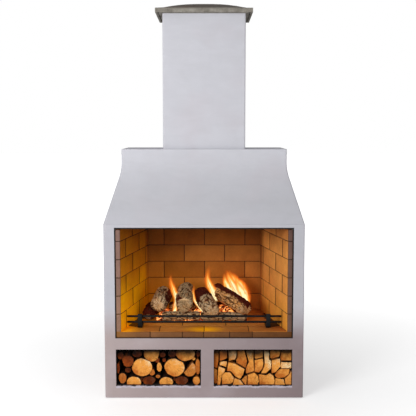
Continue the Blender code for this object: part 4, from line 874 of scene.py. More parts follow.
def brick_tree():
    """Courses in running bond on a wall: X runs along it, Y into it and Z up it."""
    sizes = ("Length", "Rise", "Thickness", "Brick Length", "Course Height", "Joint", "First Joint")
    sockets = dict.fromkeys((*sizes, "Shortest Brick", "Unevenness"), "Float")
    sockets.update({"Seed": "Int", "Material": "Material"})
    tree, add, given, result = new_tree("brick_courses", sockets)
    step = add("Math ADD", [given["Brick Length"], given["Joint"]])
    rise_step = add("Math ADD", [given["Course Height"], given["Joint"]])
    along_whole = add("Math CEIL", [add("Math DIVIDE", [given["Length"], step])])
    columns = add("Math ADD", [along_whole, 4.0])
    rise_left = add("Math SUBTRACT", [given["Rise"], given["Shortest Brick"]])
    rows = add("Math CEIL", [add("Math DIVIDE", [rise_left, rise_step])])
    count = add("Math MULTIPLY", [rows, columns])
    number = add("InputIndex")
    row_half = add("Math ADD", [add("Math DIVIDE", [number, columns]), 0.001])
    row = add("Math FLOOR", [row_half])
    column = add("Math SUBTRACT", [number, add("Math MULTIPLY", [row, columns])])
    lead = add("Math CEIL", [add("Math DIVIDE", [given["First Joint"], step])])
    lead_on = add("Math ADD", [lead, 1.0])
    half = add("Math MULTIPLY", [add("Math MODULO", [row, 2.0]), 0.5])
    places = add("Math ADD", [add("Math SUBTRACT", [column, lead_on]), half])
    start = add("Math MULTIPLY_ADD", [places, step, given["First Joint"]])
    free = add("Math MULTIPLY_ADD", [given["Joint"], 0.5, start])
    far = add("Math ADD", [free, given["Brick Length"]])
    left = add("Math MAXIMUM", [free, 0.0])
    width = add("Math SUBTRACT", [add("Math MINIMUM", [far, given["Length"]]), left])
    low = add("Math MULTIPLY", [row, rise_step])
    top = add("Math MINIMUM", [add("Math ADD", [low, given["Course Height"]]), given["Rise"]])
    tall = add("Math SUBTRACT", [top, low])
    across = add("Math MULTIPLY_ADD", [width, 0.5, left])
    deep = add("Math MULTIPLY", [given["Thickness"], 0.5])
    middle = add("CombineXYZ", [across, deep, add("Math MULTIPLY_ADD", [tall, 0.5, low])])
    size = add("CombineXYZ", [width, given["Thickness"], tall])
    points = add("Points", {"Count": count, "Position": middle})
    sized = add("StoreNamedAttribute FLOAT_VECTOR", {"Geometry": points, "Name": "size", "Value": size})
    chance = add("RandomValue FLOAT", {"ID": number, "Seed": given["Seed"]})
    toned = add("StoreNamedAttribute FLOAT", {"Geometry": sized, "Name": "tone", "Value": chance})
    short = add("Math LESS_THAN", [width, given["Shortest Brick"]])
    kept = add("DeleteGeometry", {"Geometry": toned, "Selection": short})
    reach = add("Math MULTIPLY", [given["Unevenness"], -1.0])
    own = add("InputNamedAttribute FLOAT", {"Name": "tone"})
    # Each brick stands a little deeper or turned by its own tone
    offset = add("CombineXYZ", {1: add("MapRange", [own, 0.0, 1.0, 0.0, given["Unevenness"]])})
    stood = add("SetPosition", {"Geometry": kept, "Offset": offset})
    cube = add("MeshCube", {"Size": (1, 1, 1)})
    here = add("InputPosition")
    brick = add("StoreNamedAttribute FLOAT_VECTOR", {"Geometry": cube, "Name": "unit", "Value": here})
    kept_size = add("InputNamedAttribute FLOAT_VECTOR", {"Name": "size"})
    turn = add("CombineXYZ", {2: add("Math MULTIPLY", [reach, own])})
    rotation = add("EulerToRotation", [turn])
    laid = add(
        "InstanceOnPoints", {"Points": stood, "Instance": brick, "Rotation": rotation, "Scale": kept_size}
    )
    real = add("RealizeInstances", [laid])
    # How far each point lies from the middle of its own brick, in metres
    unit = add("InputNamedAttribute FLOAT_VECTOR", {"Name": "unit"})
    span = add("VectorMath MULTIPLY", [unit, kept_size])
    whole = add("SeparateXYZ", [kept_size])
    placed_on = add("StoreNamedAttribute FLOAT_VECTOR", {"Geometry": real, "Name": "span", "Value": span})
    sized_on = add("StoreNamedAttribute FLOAT", {"Geometry": placed_on, "Name": "length", "Value": whole})
    done = add("SetMaterial", {"Geometry": sized_on, "Material": given["Material"]})
    feed(result, [done])
    return tree


# A face smaller than this, in square metres, is part of a worn edge
BRICK_FACE = 0.0003
# Where the noise that roughens bricks and cement starts
SEED = 7


def worn(mesh, name, radius):
    """Bricks with rounded, slightly chipped edges, which an attribute marks."""
    shape = bmesh.new()
    shape.from_mesh(mesh)
    wear(shape, shape.edges[:], radius, 2)
    arris = shape.verts.layers.float.new("arris")
    noise.seed_set(SEED)
    for point in shape.verts:
        point[arris] = max(face.calc_area() for face in point.link_faces) < BRICK_FACE
        point.co += noise.noise_vector(point.co * 95) * 0.45 * MM
    return mesh_of(shape, name, 60)


def placed(mesh, matrix):
    """The mesh in its place, turned the right way out."""
    mesh.transform(matrix)
    if matrix.determinant() < 0:
        mesh.flip_normals()
    return mesh


def directions(along, deep, up, place):
    """The matrix that takes a wall's own directions and start to where they lie."""
    matrix = Matrix((along, deep, up)).transposed().to_4x4()
    matrix.translation = place
    return matrix


def bed_mesh(name, length, thickness, rise, rake):
    """The fire cement behind and between the bricks of a wall, raked back from each of its faces."""
    shape = box_shape((rake, rake, rake / 2), (length - rake, thickness - 1 * MM, rise - rake / 2))
    bmesh.ops.subdivide_edges(shape, edges=shape.edges, cuts=30, use_grid_fill=True)
    noise.seed_set(SEED)
    for point in shape.verts:
        point.co += noise.noise_vector(point.co * 60) * 0.5 * MM
    return mesh_of(shape, name, 60)


def hearth_plan(front, low, high):
    """A prism on the plan of the hearth, from its splayed sides and a front line."""
    slope = (HEARTH_HALF_FRONT - HEARTH_HALF_REAR) / (HEARTH_REAR - LINING_FRONT)
    half_front = HEARTH_HALF_FRONT - slope * (front - LINING_FRONT)
    plan = [
        (half_front, front),
        (HEARTH_HALF_REAR, HEARTH_REAR),
        (-HEARTH_HALF_REAR, HEARTH_REAR),
        (-half_front, front),
    ]
    shape = bmesh.new()
    floor = shape.faces.new([shape.verts.new((x, y, low)) for x, y in plan])
    grown_up = bmesh.ops.extrude_face_region(shape, geom=[floor])["geom"]
    for part in grown_up:
        if isinstance(part, bmesh.types.BMVert):
            part.co.z = high
    bmesh.ops.recalc_face_normals(shape, faces=shape.faces)
    return mesh_of(shape, "hearth_plan")


# Upright joints of the facing slips along the hearth's front, in metres from the middle
FACING_JOINTS = (-0.303, -0.122, -0.003, 0.144, 0.271)


def facing_mesh(look):
    """Facing slips along the front edge of the hearth."""
    ends = [-HEARTH_HALF_FRONT, *FACING_JOINTS, HEARTH_HALF_FRONT]
    whole = bmesh.new()
    tone = whole.verts.layers.float.new("tone")
    for number, (left, right) in enumerate(zip(ends, ends[1:])):
        gap = look.joint / 2
        low = (left + gap * (number > 0), LINING_FRONT, HEARTH_UNDER)
        high = (right - gap * (number < len(ends) - 2), LINING_FRONT + look.facing_depth, FLOOR_LEVEL)
        slip = box_shape(low, high)
        mesh = mesh_of(slip, "slip")
        before = len(whole.verts)
        whole.from_mesh(mesh)
        bpy.data.meshes.remove(mesh)
        whole.verts.ensure_lookup_table()
        for point in whole.verts[before:]:
            point[tone] = (number * 0.37 + 0.2) % 0.75
    return mesh_of(whole, "hearth_facing")


class FIREPLACE_OT_bricks(bpy.types.Operator):
    """Lay the firebricks of the lining and of the hearth"""

    bl_idname = "fireplace.firebricks"
    bl_label = "Firebricks"

    def execute(self, context):
        look = context.scene.fireplace_brick
        tree = brick_tree()
        brick, cement = firebrick_finish(look), cement_finish(look)
        rise = LINING_TOP - LINING_BASE
        shared = {
            "Rise": rise,
            "Thickness": LINING_THICKNESS,
            "Brick Length": look.brick_length,
            "Course Height": look.course_height,
            "Joint": look.joint,
            "Shortest Brick": 0.020,
            "Unevenness": look.unevenness,
            "Material": brick,
        }
        back_length = 2 * BACK_HALF_LENGTH
        side_half = OUTER_FRONT - LINING_THICKNESS
        start = (-BACK_HALF_LENGTH, BACK_FACE, LINING_BASE)
        ways = directions((1, 0, 0), (0, 1, 0), (0, 0, 1), start)
        walls = {"back": (back_length, back_length / 2, ways)}
        for hand, side in (("left", -1), ("right", 1)):
            place = (side * side_half, LINING_FRONT, LINING_BASE)
            ways = directions((-side * SPLAY, 1, 0), (side, 0, 0), (0, 0, 1), place)
            walls[hand] = (SIDE_LENGTH, look.side_first_joint, ways)
        for seed, (hand, (length, first, ways)) in enumerate(walls.items()):
            values = {**shared, "Length": length, "First Joint": first, "Seed": seed + 3}
            mesh = worn(grown(f"{hand}_bricks", tree, values), f"{hand}_lining_bricks", look.worn_edge)
            courses = [f"{hand}_lining_course_{number}" for number in range(1, 7)]
            make_piece(f"{hand}_lining_bricks", placed(mesh, ways), brick, BODY, courses)
            bed = placed(bed_mesh(f"{hand}_fire_cement", length, LINING_THICKNESS, rise, look.rake), ways)
            make_piece(f"{hand}_fire_cement", bed, cement, BODY)

        half = HEARTH_HALF_FRONT + 3 * MM
        values = {**shared, "Length": 2 * half, "First Joint": half, "Course Height": look.hearth_depth}
        values.update({"Rise": HEARTH_REAR - LINING_FRONT, "Thickness": FLOOR_LEVEL - HEARTH_UNDER})
        values["Seed"] = 11
        ways = directions((1, 0, 0), (0, 0, -1), (0, 1, 0), (-half, LINING_FRONT, FLOOR_LEVEL))
        rows = placed(grown("hearth_bricks", tree, values), ways)
        front = LINING_FRONT + look.facing_depth + look.joint
        plan = hearth_plan(front, HEARTH_UNDER - 1 * MM, FLOOR_LEVEL + 1 * MM)
        rows = worn(met(rows, plan), "hearth_bricks", look.worn_edge)
        nodes = [f"hearth_brick_row_{number}" for number in range(1, 5)]
        make_piece("hearth_bricks", rows, brick, BODY, nodes)
        facing = worn(facing_mesh(look), "hearth_facing", look.worn_edge)
        make_piece("hearth_facing", facing, brick, BODY)
        bed = hearth_plan(LINING_FRONT + look.rake, HEARTH_UNDER, FLOOR_LEVEL - look.rake)
        make_piece("hearth_fire_cement", bed, cement, BODY)
        return {"FINISHED"}


# Log guard


def softened(node, name, radius, smooth_angle=40):
    """A copy of a solid with its sharp edges worn round."""
    shape = bmesh.new()
    shape.from_mesh(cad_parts[node].data)
    bmesh.ops.remove_doubles(shape, verts=shape.verts, dist=0.01 * MM)
    bmesh.ops.dissolve_limit(shape, angle_limit=math.radians(2), verts=shape.verts, edges=shape.edges)
    sharp = [edge for edge in shape.edges if edge.calc_face_angle(0) > math.radians(35)]
    wear(shape, sharp, radius, 3)
    return mesh_of(shape, name, smooth_angle)


def rail_mesh(node, name):
    """A round rail with domed ends, between the ends of its solid."""
    low, high = (Vector(corner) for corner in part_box(node))
    radius, half = (high.y - low.y) / 2, (high.x - low.x) / 2
    shape = bmesh.new()
    bends = (0.35, 0.7, 1.1, math.pi / 2)
    rings = [(-half + radius * 0.35 * (1 - math.cos(t)), radius * math.sin(t)) for t in bends]
    rings += [(-x, r) for x, r in reversed(rings)]
    loops = []
    for x, r in rings:
        ring = [(x, r * math.cos(turn), r * math.sin(turn)) for turn in circle(32)]
        loops.append([shape.verts.new(place) for place in ring])
    skin(shape, loops)
    shape.faces.new(list(reversed(loops[0])))
    shape.faces.new(loops[-1])
    bmesh.ops.recalc_face_normals(shape, faces=shape.faces)
    bmesh.ops.translate(shape, vec=(low + high) / 2, verts=shape.verts)
    return mesh_of(shape, name, 50)


class FIREPLACE_OT_guard(bpy.types.Operator):
    """Finish the log guard's rails and uprights"""

    bl_idname = "fireplace.guard"
    bl_label = "Log guard"

    def execute(self, context):
        look = context.scene.fireplace_guard
        material = guard_finish(look)
        for node in ("guard_top_rail", "guard_lower_rail"):
            mesh = rail_mesh(node, node + "_round")
            make_piece(node + "_round", mesh, material, "log_guard", (node,))
        for node in ("guard_left_upright", "guard_right_upright"):
            mesh = softened(node, node + "_bar", look.worn_edge)
            make_piece(node + "_bar", mesh, material, "log_guard", (node,))
        return {"FINISHED"}


# Fire

# How each burning log looks: char, ash, warm bark and ember heat from none to all, how pale its ends
# are, how much stouter it is than its solid, and how far its ends are burnt round, in metres
BURNING_LOOKS = {
    "fire_log_front_left": (0.02, 0.75, 0.25, 0.05, 0.8, 1.04, 0.012),
    "fire_log_front_right": (0.02, 0.80, 0.25, 0.05, 0.8, 1.04, 0.012),
    "fire_log_back": (0.45, 0.35, 0.30, 0.40, 0.3, 1.00, 0.015),
    "fire_log_far_left": (0.72, 0.05, 0.10, 0.45, 0.1, 1.02, 0.020),
    "fire_log_left": (0.00, 0.85, 0.22, 0.08, 1.0, 1.06, 0.030),
    "fire_log_middle": (0.02, 0.45, 0.12, 0.08, 1.0, 1.10, 0.030),
    "fire_log_charred": (0.02, 0.90, 0.35, 0.15, 1.0, 1.10, 0.040),
    "fire_log_right": (0.02, 0.30, 0.95, 0.12, 0.5, 1.08, 0.014),
}


def log_ends(node):
    """The middle of each end of a solid log, the nearer to the front or to the left first."""
    points = np.array([vertex.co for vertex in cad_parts[node].data.vertices])
    points = np.unique(points.round(5), axis=0)
    middle = points.mean(axis=0)
    axis = np.linalg.svd(points - middle, full_matrices=False)[2][0]
    along = (points - middle) @ axis
    ends = [points[np.abs(along - edge) < 2 * MM].mean(axis=0) for edge in (along.min(), along.max())]
    spread = np.abs(ends[1] - ends[0])
    ends.sort(key=lambda end: end[1] if spread[1] > spread[0] else end[0])
    return Vector(ends[0]), Vector(ends[1])


def solid_tree(node):
    """A search tree of a solid's faces."""
    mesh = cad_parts[node].data
    points = [vertex.co.copy() for vertex in mesh.vertices]
    return BVHTree.FromPolygons(points, [tuple(face.vertices) for face in mesh.polygons])


def step_up(low, high, value):
    """Zero below low, one above high and smooth between."""
    share = min(max((value - low) / (high - low), 0), 1)
    return share * share * (3 - 2 * share)


def bark_groove(turn, along, radius, seed):
    """How deep the bark is cut at a place on a log, from zero to one."""
    around = turn * radius
    wander = noise.noise(Vector((around * 30, along * 12, seed)))
    plate = Vector((around * 75 + wander * 0.9, along * 26 + wander * 1.3, seed * 3.1))
    near, second = noise.voronoi(plate, distance_metric="DISTANCE", exponent=2.5)[0][:2]
    return 1 - step_up(0.03, 0.22, second - near)


def burnt_share(node, lift, out, share, blotch):
    """How charred a log is at a place: more on top, inwards of the fire and towards its far end."""
    burn = BURNING_LOOKS[node][0] + 0.45 * blotch + 0.12 * lift + 0.25 * step_up(0.7, 1.0, share)
    if node == "fire_log_left":
        burn += 0.75 * step_up(0.45, 0.85, out.x) * step_up(0.0, 0.3, share)
    if node == "fire_log_middle":
        burn += 0.5 * step_up(0.6, 0.95, -out.x)
    if node == "fire_log_charred":
        burn += 0.85 * step_up(0.42, 0.62, share) + 0.3 * step_up(0.5, 0.9, -out.x)
    if node == "fire_log_right":
        burn += 0.7 * step_up(0.72, 0.95, lift) + 0.5 * step_up(0.10, 0.0, share)
    return burn


def burning_log_mesh(node, look, seed):
    """A log with bark, char and burnt-round ends that follows its solid."""
    _, ash_level, warm_level, heat_level, pale, stout, rounding = BURNING_LOOKS[node]
    near, far = log_ends(node)
    axis = (far - near).normalized()
    side = axis.cross(Vector((0, 0, 1))).normalized()
    up = side.cross(axis)
    length = (far - near).length
    tree = solid_tree(node)
    rings, spokes, caps = 100, 96, 10
    shape = bmesh.new()
    layers = float_layers(shape, "char", "ash", "warm", "heat", "cut", "groove")
    grain = shape.verts.layers.float_vector.new("grain")

    def add_point(place, out, along, cut, groove):
        """One point with what the finish needs to know there."""
        point = shape.verts.new(place)
        lift = up.dot(out)
        blotch = noise.fractal(place * 26 + Vector((seed, 0, 0)), 0.7, 2.0, 4)
        burn = burnt_share(node, lift, out, along / length, blotch)
        values = {
            "char": burn * (1 - 0.9 * cut * pale),
            "ash": ash_level * (0.6 + 0.4 * lift) + 0.6 * noise.noise(place * 33),
            "warm": warm_level + 0.6 * blotch,
            "heat": heat_level * (0.3 + 1.5 * step_up(0.1, 0.9, -lift) + 0.8 * noise.noise(place * 41)),
            "cut": cut * (0.35 + 0.65 * pale),
            "groove": groove,
        }
        for key, value in values.items():
            point[layers[key]] = min(max(value, 0), 1)
        point[grain] = Vector((along + seed, side.dot(place - near), up.dot(place - near)))
        return point

    loops = []
    for ring in range(rings + 1):
        # Rings crowd towards the ends, where the form turns
        share = 0.5 - 0.5 * math.cos(math.pi * ring / rings)
        along = length * share
        inside = min(max(along, 1.5 * MM), length - 1.5 * MM)
        middle = near + axis * inside
        edge = min(along, length - along)
        drop = 1 - math.sqrt(max(1 - (1 - min(edge / rounding, 1)) ** 2, 0))
        loop = []
        for turn in circle(spokes):
            out = side * math.cos(turn) + up * math.sin(turn)
            hit = tree.ray_cast(middle, out)
            radius = hit[3] if hit[0] is not None else 30 * MM
            wrapped = math.pi - abs(math.pi - turn)
            groove = bark_groove(wrapped, along, radius, seed)
            lump = noise.fractal(middle * 17 + out * 0.9 + Vector((seed * 5, 0, 0)), 0.9, 2.0, 3)
            knot = noise.noise(middle * 45 + out * 2.4) * 2.0 * MM
            reach = radius * stout - look.bark_depth * groove + 3.5 * MM * lump + knot
            reach *= 1 - (0.42 + 0.12 * noise.noise(out * 2.2 + middle * 9)) * drop
            place = near + axis * along + out * reach
            loop.append(add_point(place, out, along, step_up(0.55, 1.0, drop), groove))
        loops.append(loop)
    skin(shape, loops)
    for loop, end, way in ((loops[0], near, -1), (loops[-1], far, 1)):
        outer = loop
        along = 0 if way < 0 else length
        for cap in range(1, caps):
            share = 1 - cap / caps
            inner = []
            for rim in loop:
                out = (rim.co - end).normalized()
                flat = end + (rim.co - end) * share
                dent = noise.fractal(flat * 55 + Vector((0, seed, 0)), 0.8, 2.0, 4) * 5 * MM
                place = flat + axis * way * (min(dent, 0) - 0.5 * MM * share)
                inner.append(add_point(place, out, along, 1.0, 0.5 * (dent < -1 * MM)))
            skin(shape, (outer, inner))
            outer = inner
        heart = add_point(end - axis * way * 1.0 * MM, axis * way * 0.01, along, 1.0, 0.0)
        fan(shape, outer, heart)
    bmesh.ops.recalc_face_normals(shape, faces=shape.faces)
    return mesh_of(shape, node + "_bark", 75)


class FIREPLACE_OT_burning_logs(bpy.types.Operator):
    """Shape the burning logs: bark, char, ash and embers"""

    bl_idname = "fireplace.burning_logs"
    bl_label = "Burning logs"

    def execute(self, context):
        look = context.scene.fireplace_fire
        material = burning_finish(look)
        for seed, node in enumerate(BURNING_LOOKS):
            mesh = burning_log_mesh(node, look, seed + 1)
            make_piece(node + "_bark", mesh, material, "fire_logs", (node,))
        return {"FINISHED"}


def coal_tree():
    """Coals strewn on a bed: uneven lumps of many sizes, sunk a little into what they lie on."""
    sockets = {"Geometry": "Geometry", "Count": "Int", "Size": "Float", "Seed": "Int"}
    tree, add, given, result = new_tree("strewn_coals", {**sockets, "Material": "Material"})
    points = add(
        "DistributePointsOnFaces",
        {"Mesh": given["Geometry"], "Density": 9000.0, "Seed": given["Seed"]},
        distribute_method="RANDOM",
    )
    number = add("InputIndex")
    extra = add("Compare", {2: number, 3: given["Count"]}, data_type="INT", operation="GREATER_EQUAL")
    kept = add("DeleteGeometry", {"Geometry": points, "Selection": extra})
    chance = add("RandomValue FLOAT", {"ID": number, "Seed": given["Seed"]})
    toned = add("StoreNamedAttribute FLOAT", {"Geometry": kept, "Name": "tone", "Value": chance})
    stretch = add(
        "RandomValue FLOAT_VECTOR", {0: (0.45, 0.45, 0.4), 1: (1.5, 1.1, 0.8), "ID": number, "Seed": 5}
    )
    scale = add("VectorMath SCALE", {0: stretch, "Scale": given["Size"]})
    spin = add(
        "RandomValue FLOAT_VECTOR", {0: (-0.4, -0.4, 0.0), 1: (0.4, 0.4, math.tau), "ID": number, "Seed": 8}
    )
    turn = add("EulerToRotation", [spin])
    lump = add("MeshIcoSphere", {"Radius": 1.0, "Subdivisions": 3})
    laid = add("InstanceOnPoints", {"Points": toned, "Instance": lump, "Rotation": turn, "Scale": scale})
    real = add("RealizeInstances", [laid])
    rough = add("TexNoise", [add("InputPosition"), 95, 2])
    centred = add("VectorMath SUBTRACT", [rough.outputs[1], (0.5, 0.5, 0.5)])
    offset = add("VectorMath SCALE", {0: centred, "Scale": given["Size"]})
    dented = add("SetPosition", {"Geometry": real, "Offset": offset})
    done = add("SetMaterial", {"Geometry": dented, "Material": given["Material"]})
    feed(result, [done])
    return tree


def coal_finish(look):
    """Broken charcoal with ash on it, glowing where it is thick. Each lump has its own tone."""
    material, add, shader = new_finish("glowing_charcoal", Roughness=0.9, IOR=1.45)
    place = add("TexCoord").outputs["Object"]
    own = add("Attribute", attribute_name="tone").outputs["Fac"]
    fleck = add("TexNoise", [place, 150, 5, 0.7])
    both = add("Math MULTIPLY_ADD", [fleck, 0.6, own])
    stops = {0.35: look.char_dark, 0.65: look.char, 0.9: look.char_light, 1.0: look.ash}
    tone = add("ValToRGB", [both], stops)
    crack = add("TexVoronoi", [place, 130], feature="DISTANCE_TO_EDGE")
    thin = add("MapRange", [crack, 0.16, 0.02])
    hot = add("MapRange", [both, 0.4, 1.05])
    lit = add("Math MULTIPLY", [thin, hot])
    power = add("Math MULTIPLY", [add("Math MULTIPLY_ADD", [hot, 0.45, lit]), look.ember_power])
    colour = add("ValToRGB", [lit], {0.0: look.ember_dark, 0.5: look.ember, 1.0: look.ember_hot})
    bump = add("Bump", {"Strength": 0.8, "Distance": 1.2 * MM, "Height": fleck})
    feed(shader, {"Base Color": tone, "Emission Strength": power, "Emission Color": colour, "Normal": bump})
    return material


def ash_finish(look):
    """Wood ash, raked by the fire: soft pale grey powder with charcoal dust in it."""
    material, add, shader = new_finish("wood_ash", Roughness=0.98, IOR=1.4)
    place = add("TexCoord").outputs["Object"]
    fine = add("TexNoise", [place, 70, 6, 0.75])
    stops = {0.3: look.bark_deep, 0.4: look.ash_low, 0.56: look.ash_low, 0.72: look.ash}
    tone = add("ValToRGB", [fine], stops)
    bump = add("Bump", {"Strength": 0.8, "Distance": 1.5 * MM, "Height": fine})
    feed(shader, {"Base Color": tone, "Normal": bump})
    return material


# The ash under the fire and the embers behind its front logs: middle and half size, in metres
ASH_MIDDLE, ASH_HALF = (-0.035, 0.020), (0.300, 0.115)
EMBER_MIDDLE, EMBER_HALF = (-0.020, 0.010), (0.270, 0.060)
# The heaps of the ember bed: where each lies across, how high it is and how wide
EMBER_HEAPS = ((-0.235, 0.055, 0.045), (-0.045, 0.050, 0.045), (0.110, 0.075, 0.070), (0.02, 0.035, 0.20))


def ash_shape():
    """A low uneven heap of ash under the logs, sunk into the hearth at its edge."""
    shape = bmesh.new()
    bmesh.ops.create_grid(shape, x_segments=120, y_segments=56, size=1)
    for point in shape.verts:
        u, v = point.co.x, point.co.y
        ragged = 0.16 * noise.noise(Vector((u * 3.1, v * 3.1, 2)))
        ragged += 0.05 * noise.noise(Vector((u * 12, v * 6, 2)))
        inside = step_up(0, 0.5, 0.84 - math.hypot(u, v) + ragged)
        grit = noise.fractal(Vector((u * 26, v * 14, 5)), 0.7, 2.0, 4)
        place = (ASH_MIDDLE[0] + u * ASH_HALF[0], ASH_MIDDLE[1] + v * ASH_HALF[1])
        point.co = (*place, FLOOR_LEVEL - 4 * MM + inside * (10 + 2.5 * grit) * MM)
    return shape


def closed(shape):
    """The same shape with a flat underside."""
    bmesh.ops.holes_fill(shape, edges=[edge for edge in shape.edges if edge.is_boundary])
    bmesh.ops.recalc_face_normals(shape, faces=shape.faces)
    return shape


def ember_shape(lift=0.0):
    """Heaps of embers behind the front logs, lumpy on top."""
    shape = bmesh.new()
    bmesh.ops.create_grid(shape, x_segments=160, y_segments=40, size=1)
    for point in shape.verts:
        u, v = point.co.x, point.co.y
        x, y = EMBER_MIDDLE[0] + u * EMBER_HALF[0], EMBER_MIDDLE[1] + v * EMBER_HALF[1]
        heap = max(high * math.exp(-(((x - across) / wide) ** 2)) for across, high, wide in EMBER_HEAPS)
        edge = step_up(0, 0.5, 1 - abs(v)) * step_up(0, 0.15, 1 - abs(u))
        lump = noise.fractal(Vector((x * 60, y * 60, 3)), 0.8, 2.0, 3) * 5 * MM
        point.co = (x, y, FLOOR_LEVEL + 1 * MM + (heap + lump + lift) * edge)
    return shape


class FIREPLACE_OT_embers(bpy.types.Operator):
    """Strew ash and glowing coals under the burning logs"""

    bl_idname = "fireplace.embers"
    bl_label = "Ash and embers"

    def execute(self, context):
        look = context.scene.fireplace_fire
        coal = coal_finish(look)
        ash = mesh_of(closed(ash_shape()), "ash_bed", 60)
        make_piece("ash_bed", ash, ash_finish(look), BODY)
        heap = mesh_of(closed(ember_shape()), "ember_heap", 60)
        heap.attributes.new("tone", "FLOAT", "POINT").data.foreach_set("value", [0.35] * len(heap.vertices))
        make_piece("ember_heap", heap, coal, "fire_logs")
        source = mesh_of(ember_shape(2 * MM), "coal_bed")
        values = {"Count": look.coal_count, "Size": look.coal_size, "Seed": 4, "Material": coal}
        coals = grown("coals", coal_tree(), values, source)
        coals.shade_smooth()
        make_piece("glowing_coals", coals, coal, "fire_logs")
        return {"FINISHED"}


# Each tongue of flame: how far back it stands, and its line from root to tip as place across, height
# and half width, in metres
FLAMES = {
    "left": (0.03, (
        (-0.184, 0.398, 0.012), (-0.174, 0.449, 0.017), (-0.166, 0.492, 0.020), (-0.180, 0.535, 0.021),
        (-0.197, 0.584, 0.016), (-0.204, 0.621, 0.010), (-0.199, 0.652, 0.003),
    )),
    "left_low": (0.00, (
        (-0.190, 0.392, 0.010), (-0.180, 0.420, 0.014), (-0.172, 0.455, 0.012), (-0.168, 0.490, 0.004),
    )),
    "middle": (0.015, (
        (0.004, 0.405, 0.012), (-0.018, 0.430, 0.013), (-0.040, 0.460, 0.012), (-0.060, 0.488, 0.012),
        (-0.068, 0.530, 0.010), (-0.064, 0.562, 0.007), (-0.058, 0.596, 0.002),
    )),
    "tall": (0.06, (
        (0.072, 0.470, 0.016), (0.064, 0.500, 0.024), (0.052, 0.532, 0.028), (0.034, 0.572, 0.027),
        (0.020, 0.612, 0.020), (0.022, 0.655, 0.013), (0.030, 0.702, 0.004),
    )),
    "wide_right": (0.105, (
        (0.258, 0.455, 0.016), (0.252, 0.500, 0.027), (0.236, 0.540, 0.034), (0.212, 0.580, 0.030),
        (0.190, 0.610, 0.018), (0.178, 0.640, 0.006),
    )),
    "wide_middle": (0.095, (
        (0.218, 0.470, 0.022), (0.204, 0.512, 0.036), (0.180, 0.556, 0.036), (0.158, 0.598, 0.026),
        (0.142, 0.632, 0.015), (0.133, 0.668, 0.004),
    )),
    "wide_left": (0.085, (
        (0.170, 0.500, 0.016), (0.154, 0.538, 0.026), (0.136, 0.578, 0.024), (0.124, 0.615, 0.014),
        (0.122, 0.650, 0.004),
    )),
    "broad": (0.110, (
        (0.254, 0.440, 0.026), (0.240, 0.490, 0.044), (0.214, 0.545, 0.052), (0.184, 0.595, 0.040),
        (0.158, 0.635, 0.022), (0.148, 0.660, 0.006),
    )),
    "broad_heart": (0.080, (
        (0.262, 0.462, 0.014), (0.244, 0.500, 0.026), (0.218, 0.545, 0.027), (0.196, 0.588, 0.016),
        (0.184, 0.620, 0.004),
    )),
    "low_right": (-0.01, (
        (0.186, 0.402, 0.008), (0.176, 0.416, 0.010), (0.160, 0.438, 0.009), (0.146, 0.460, 0.003),
    )),
}
CROSSED = ("left", "middle", "tall", "wide_middle")


def along_line(line, share):
    """A point on a smooth line through the given ones."""
    last = len(line) - 1
    at = min(share * last, last - 1e-6)
    index = int(at)
    t = at - index
    p0, p1 = np.array(line[max(index - 1, 0)]), np.array(line[index])
    p2, p3 = np.array(line[index + 1]), np.array(line[min(index + 2, last)])
    bend, twist = 2 * p0 - 5 * p1 + 4 * p2 - p3, 3 * p1 - p0 - 3 * p2 + p3
    return 0.5 * (2 * p1 + (p2 - p0) * t + bend * t**2 + twist * t**3)


def flame_shape(name, turned):
    """One sheet of flame that follows its line, bowed and fluttering, turned about its own middle."""
    back, line = FLAMES[name]
    steps, spans = 40, 12
    shape = bmesh.new()
    uv = shape.loops.layers.uv.new("flame")
    rows, shares = [], {}
    for step in range(steps + 1):
        share = step / steps
        across, height, half = along_line(line, share)
        sway = 0.010 * math.sin(5 * share + len(name)) * share
        row = []
        for span in range(spans + 1):
            u = 2 * span / spans - 1
            reach = u * half * 1.4
            bow = 0.3 * half * (1 - u * u)
            place = (
                across + reach * math.cos(turned),
                back + sway + reach * math.sin(turned) - bow * math.cos(turned),
                height,
            )
            point = shape.verts.new(place)
            shares[point] = ((u + 1) / 2, share)
            row.append(point)
        rows.append(row)
    skin(shape, rows, closed=False)
    for face in shape.faces:
        for loop in face.loops:
            loop[uv].uv = shares[loop.vert]
    return shape


class FIREPLACE_OT_flames(bpy.types.Operator):
    """Light the flames among the burning logs"""

    bl_idname = "fireplace.flames"
    bl_label = "Flames"

    def execute(self, context):
        look = context.scene.fireplace_fire
        material = flame_finish(look)
        for name in FLAMES:
            mesh = mesh_of(flame_shape(name, 0.0), f"flame_{name}", 80)
            make_piece(f"flame_{name}", mesh, material, "fire_logs")
            if name in CROSSED:
                mesh = mesh_of(flame_shape(name, math.radians(80)), f"flame_{name}_side", 80)
                make_piece(f"flame_{name}_side", mesh, material, "fire_logs")
        return {"FINISHED"}


# Firewood

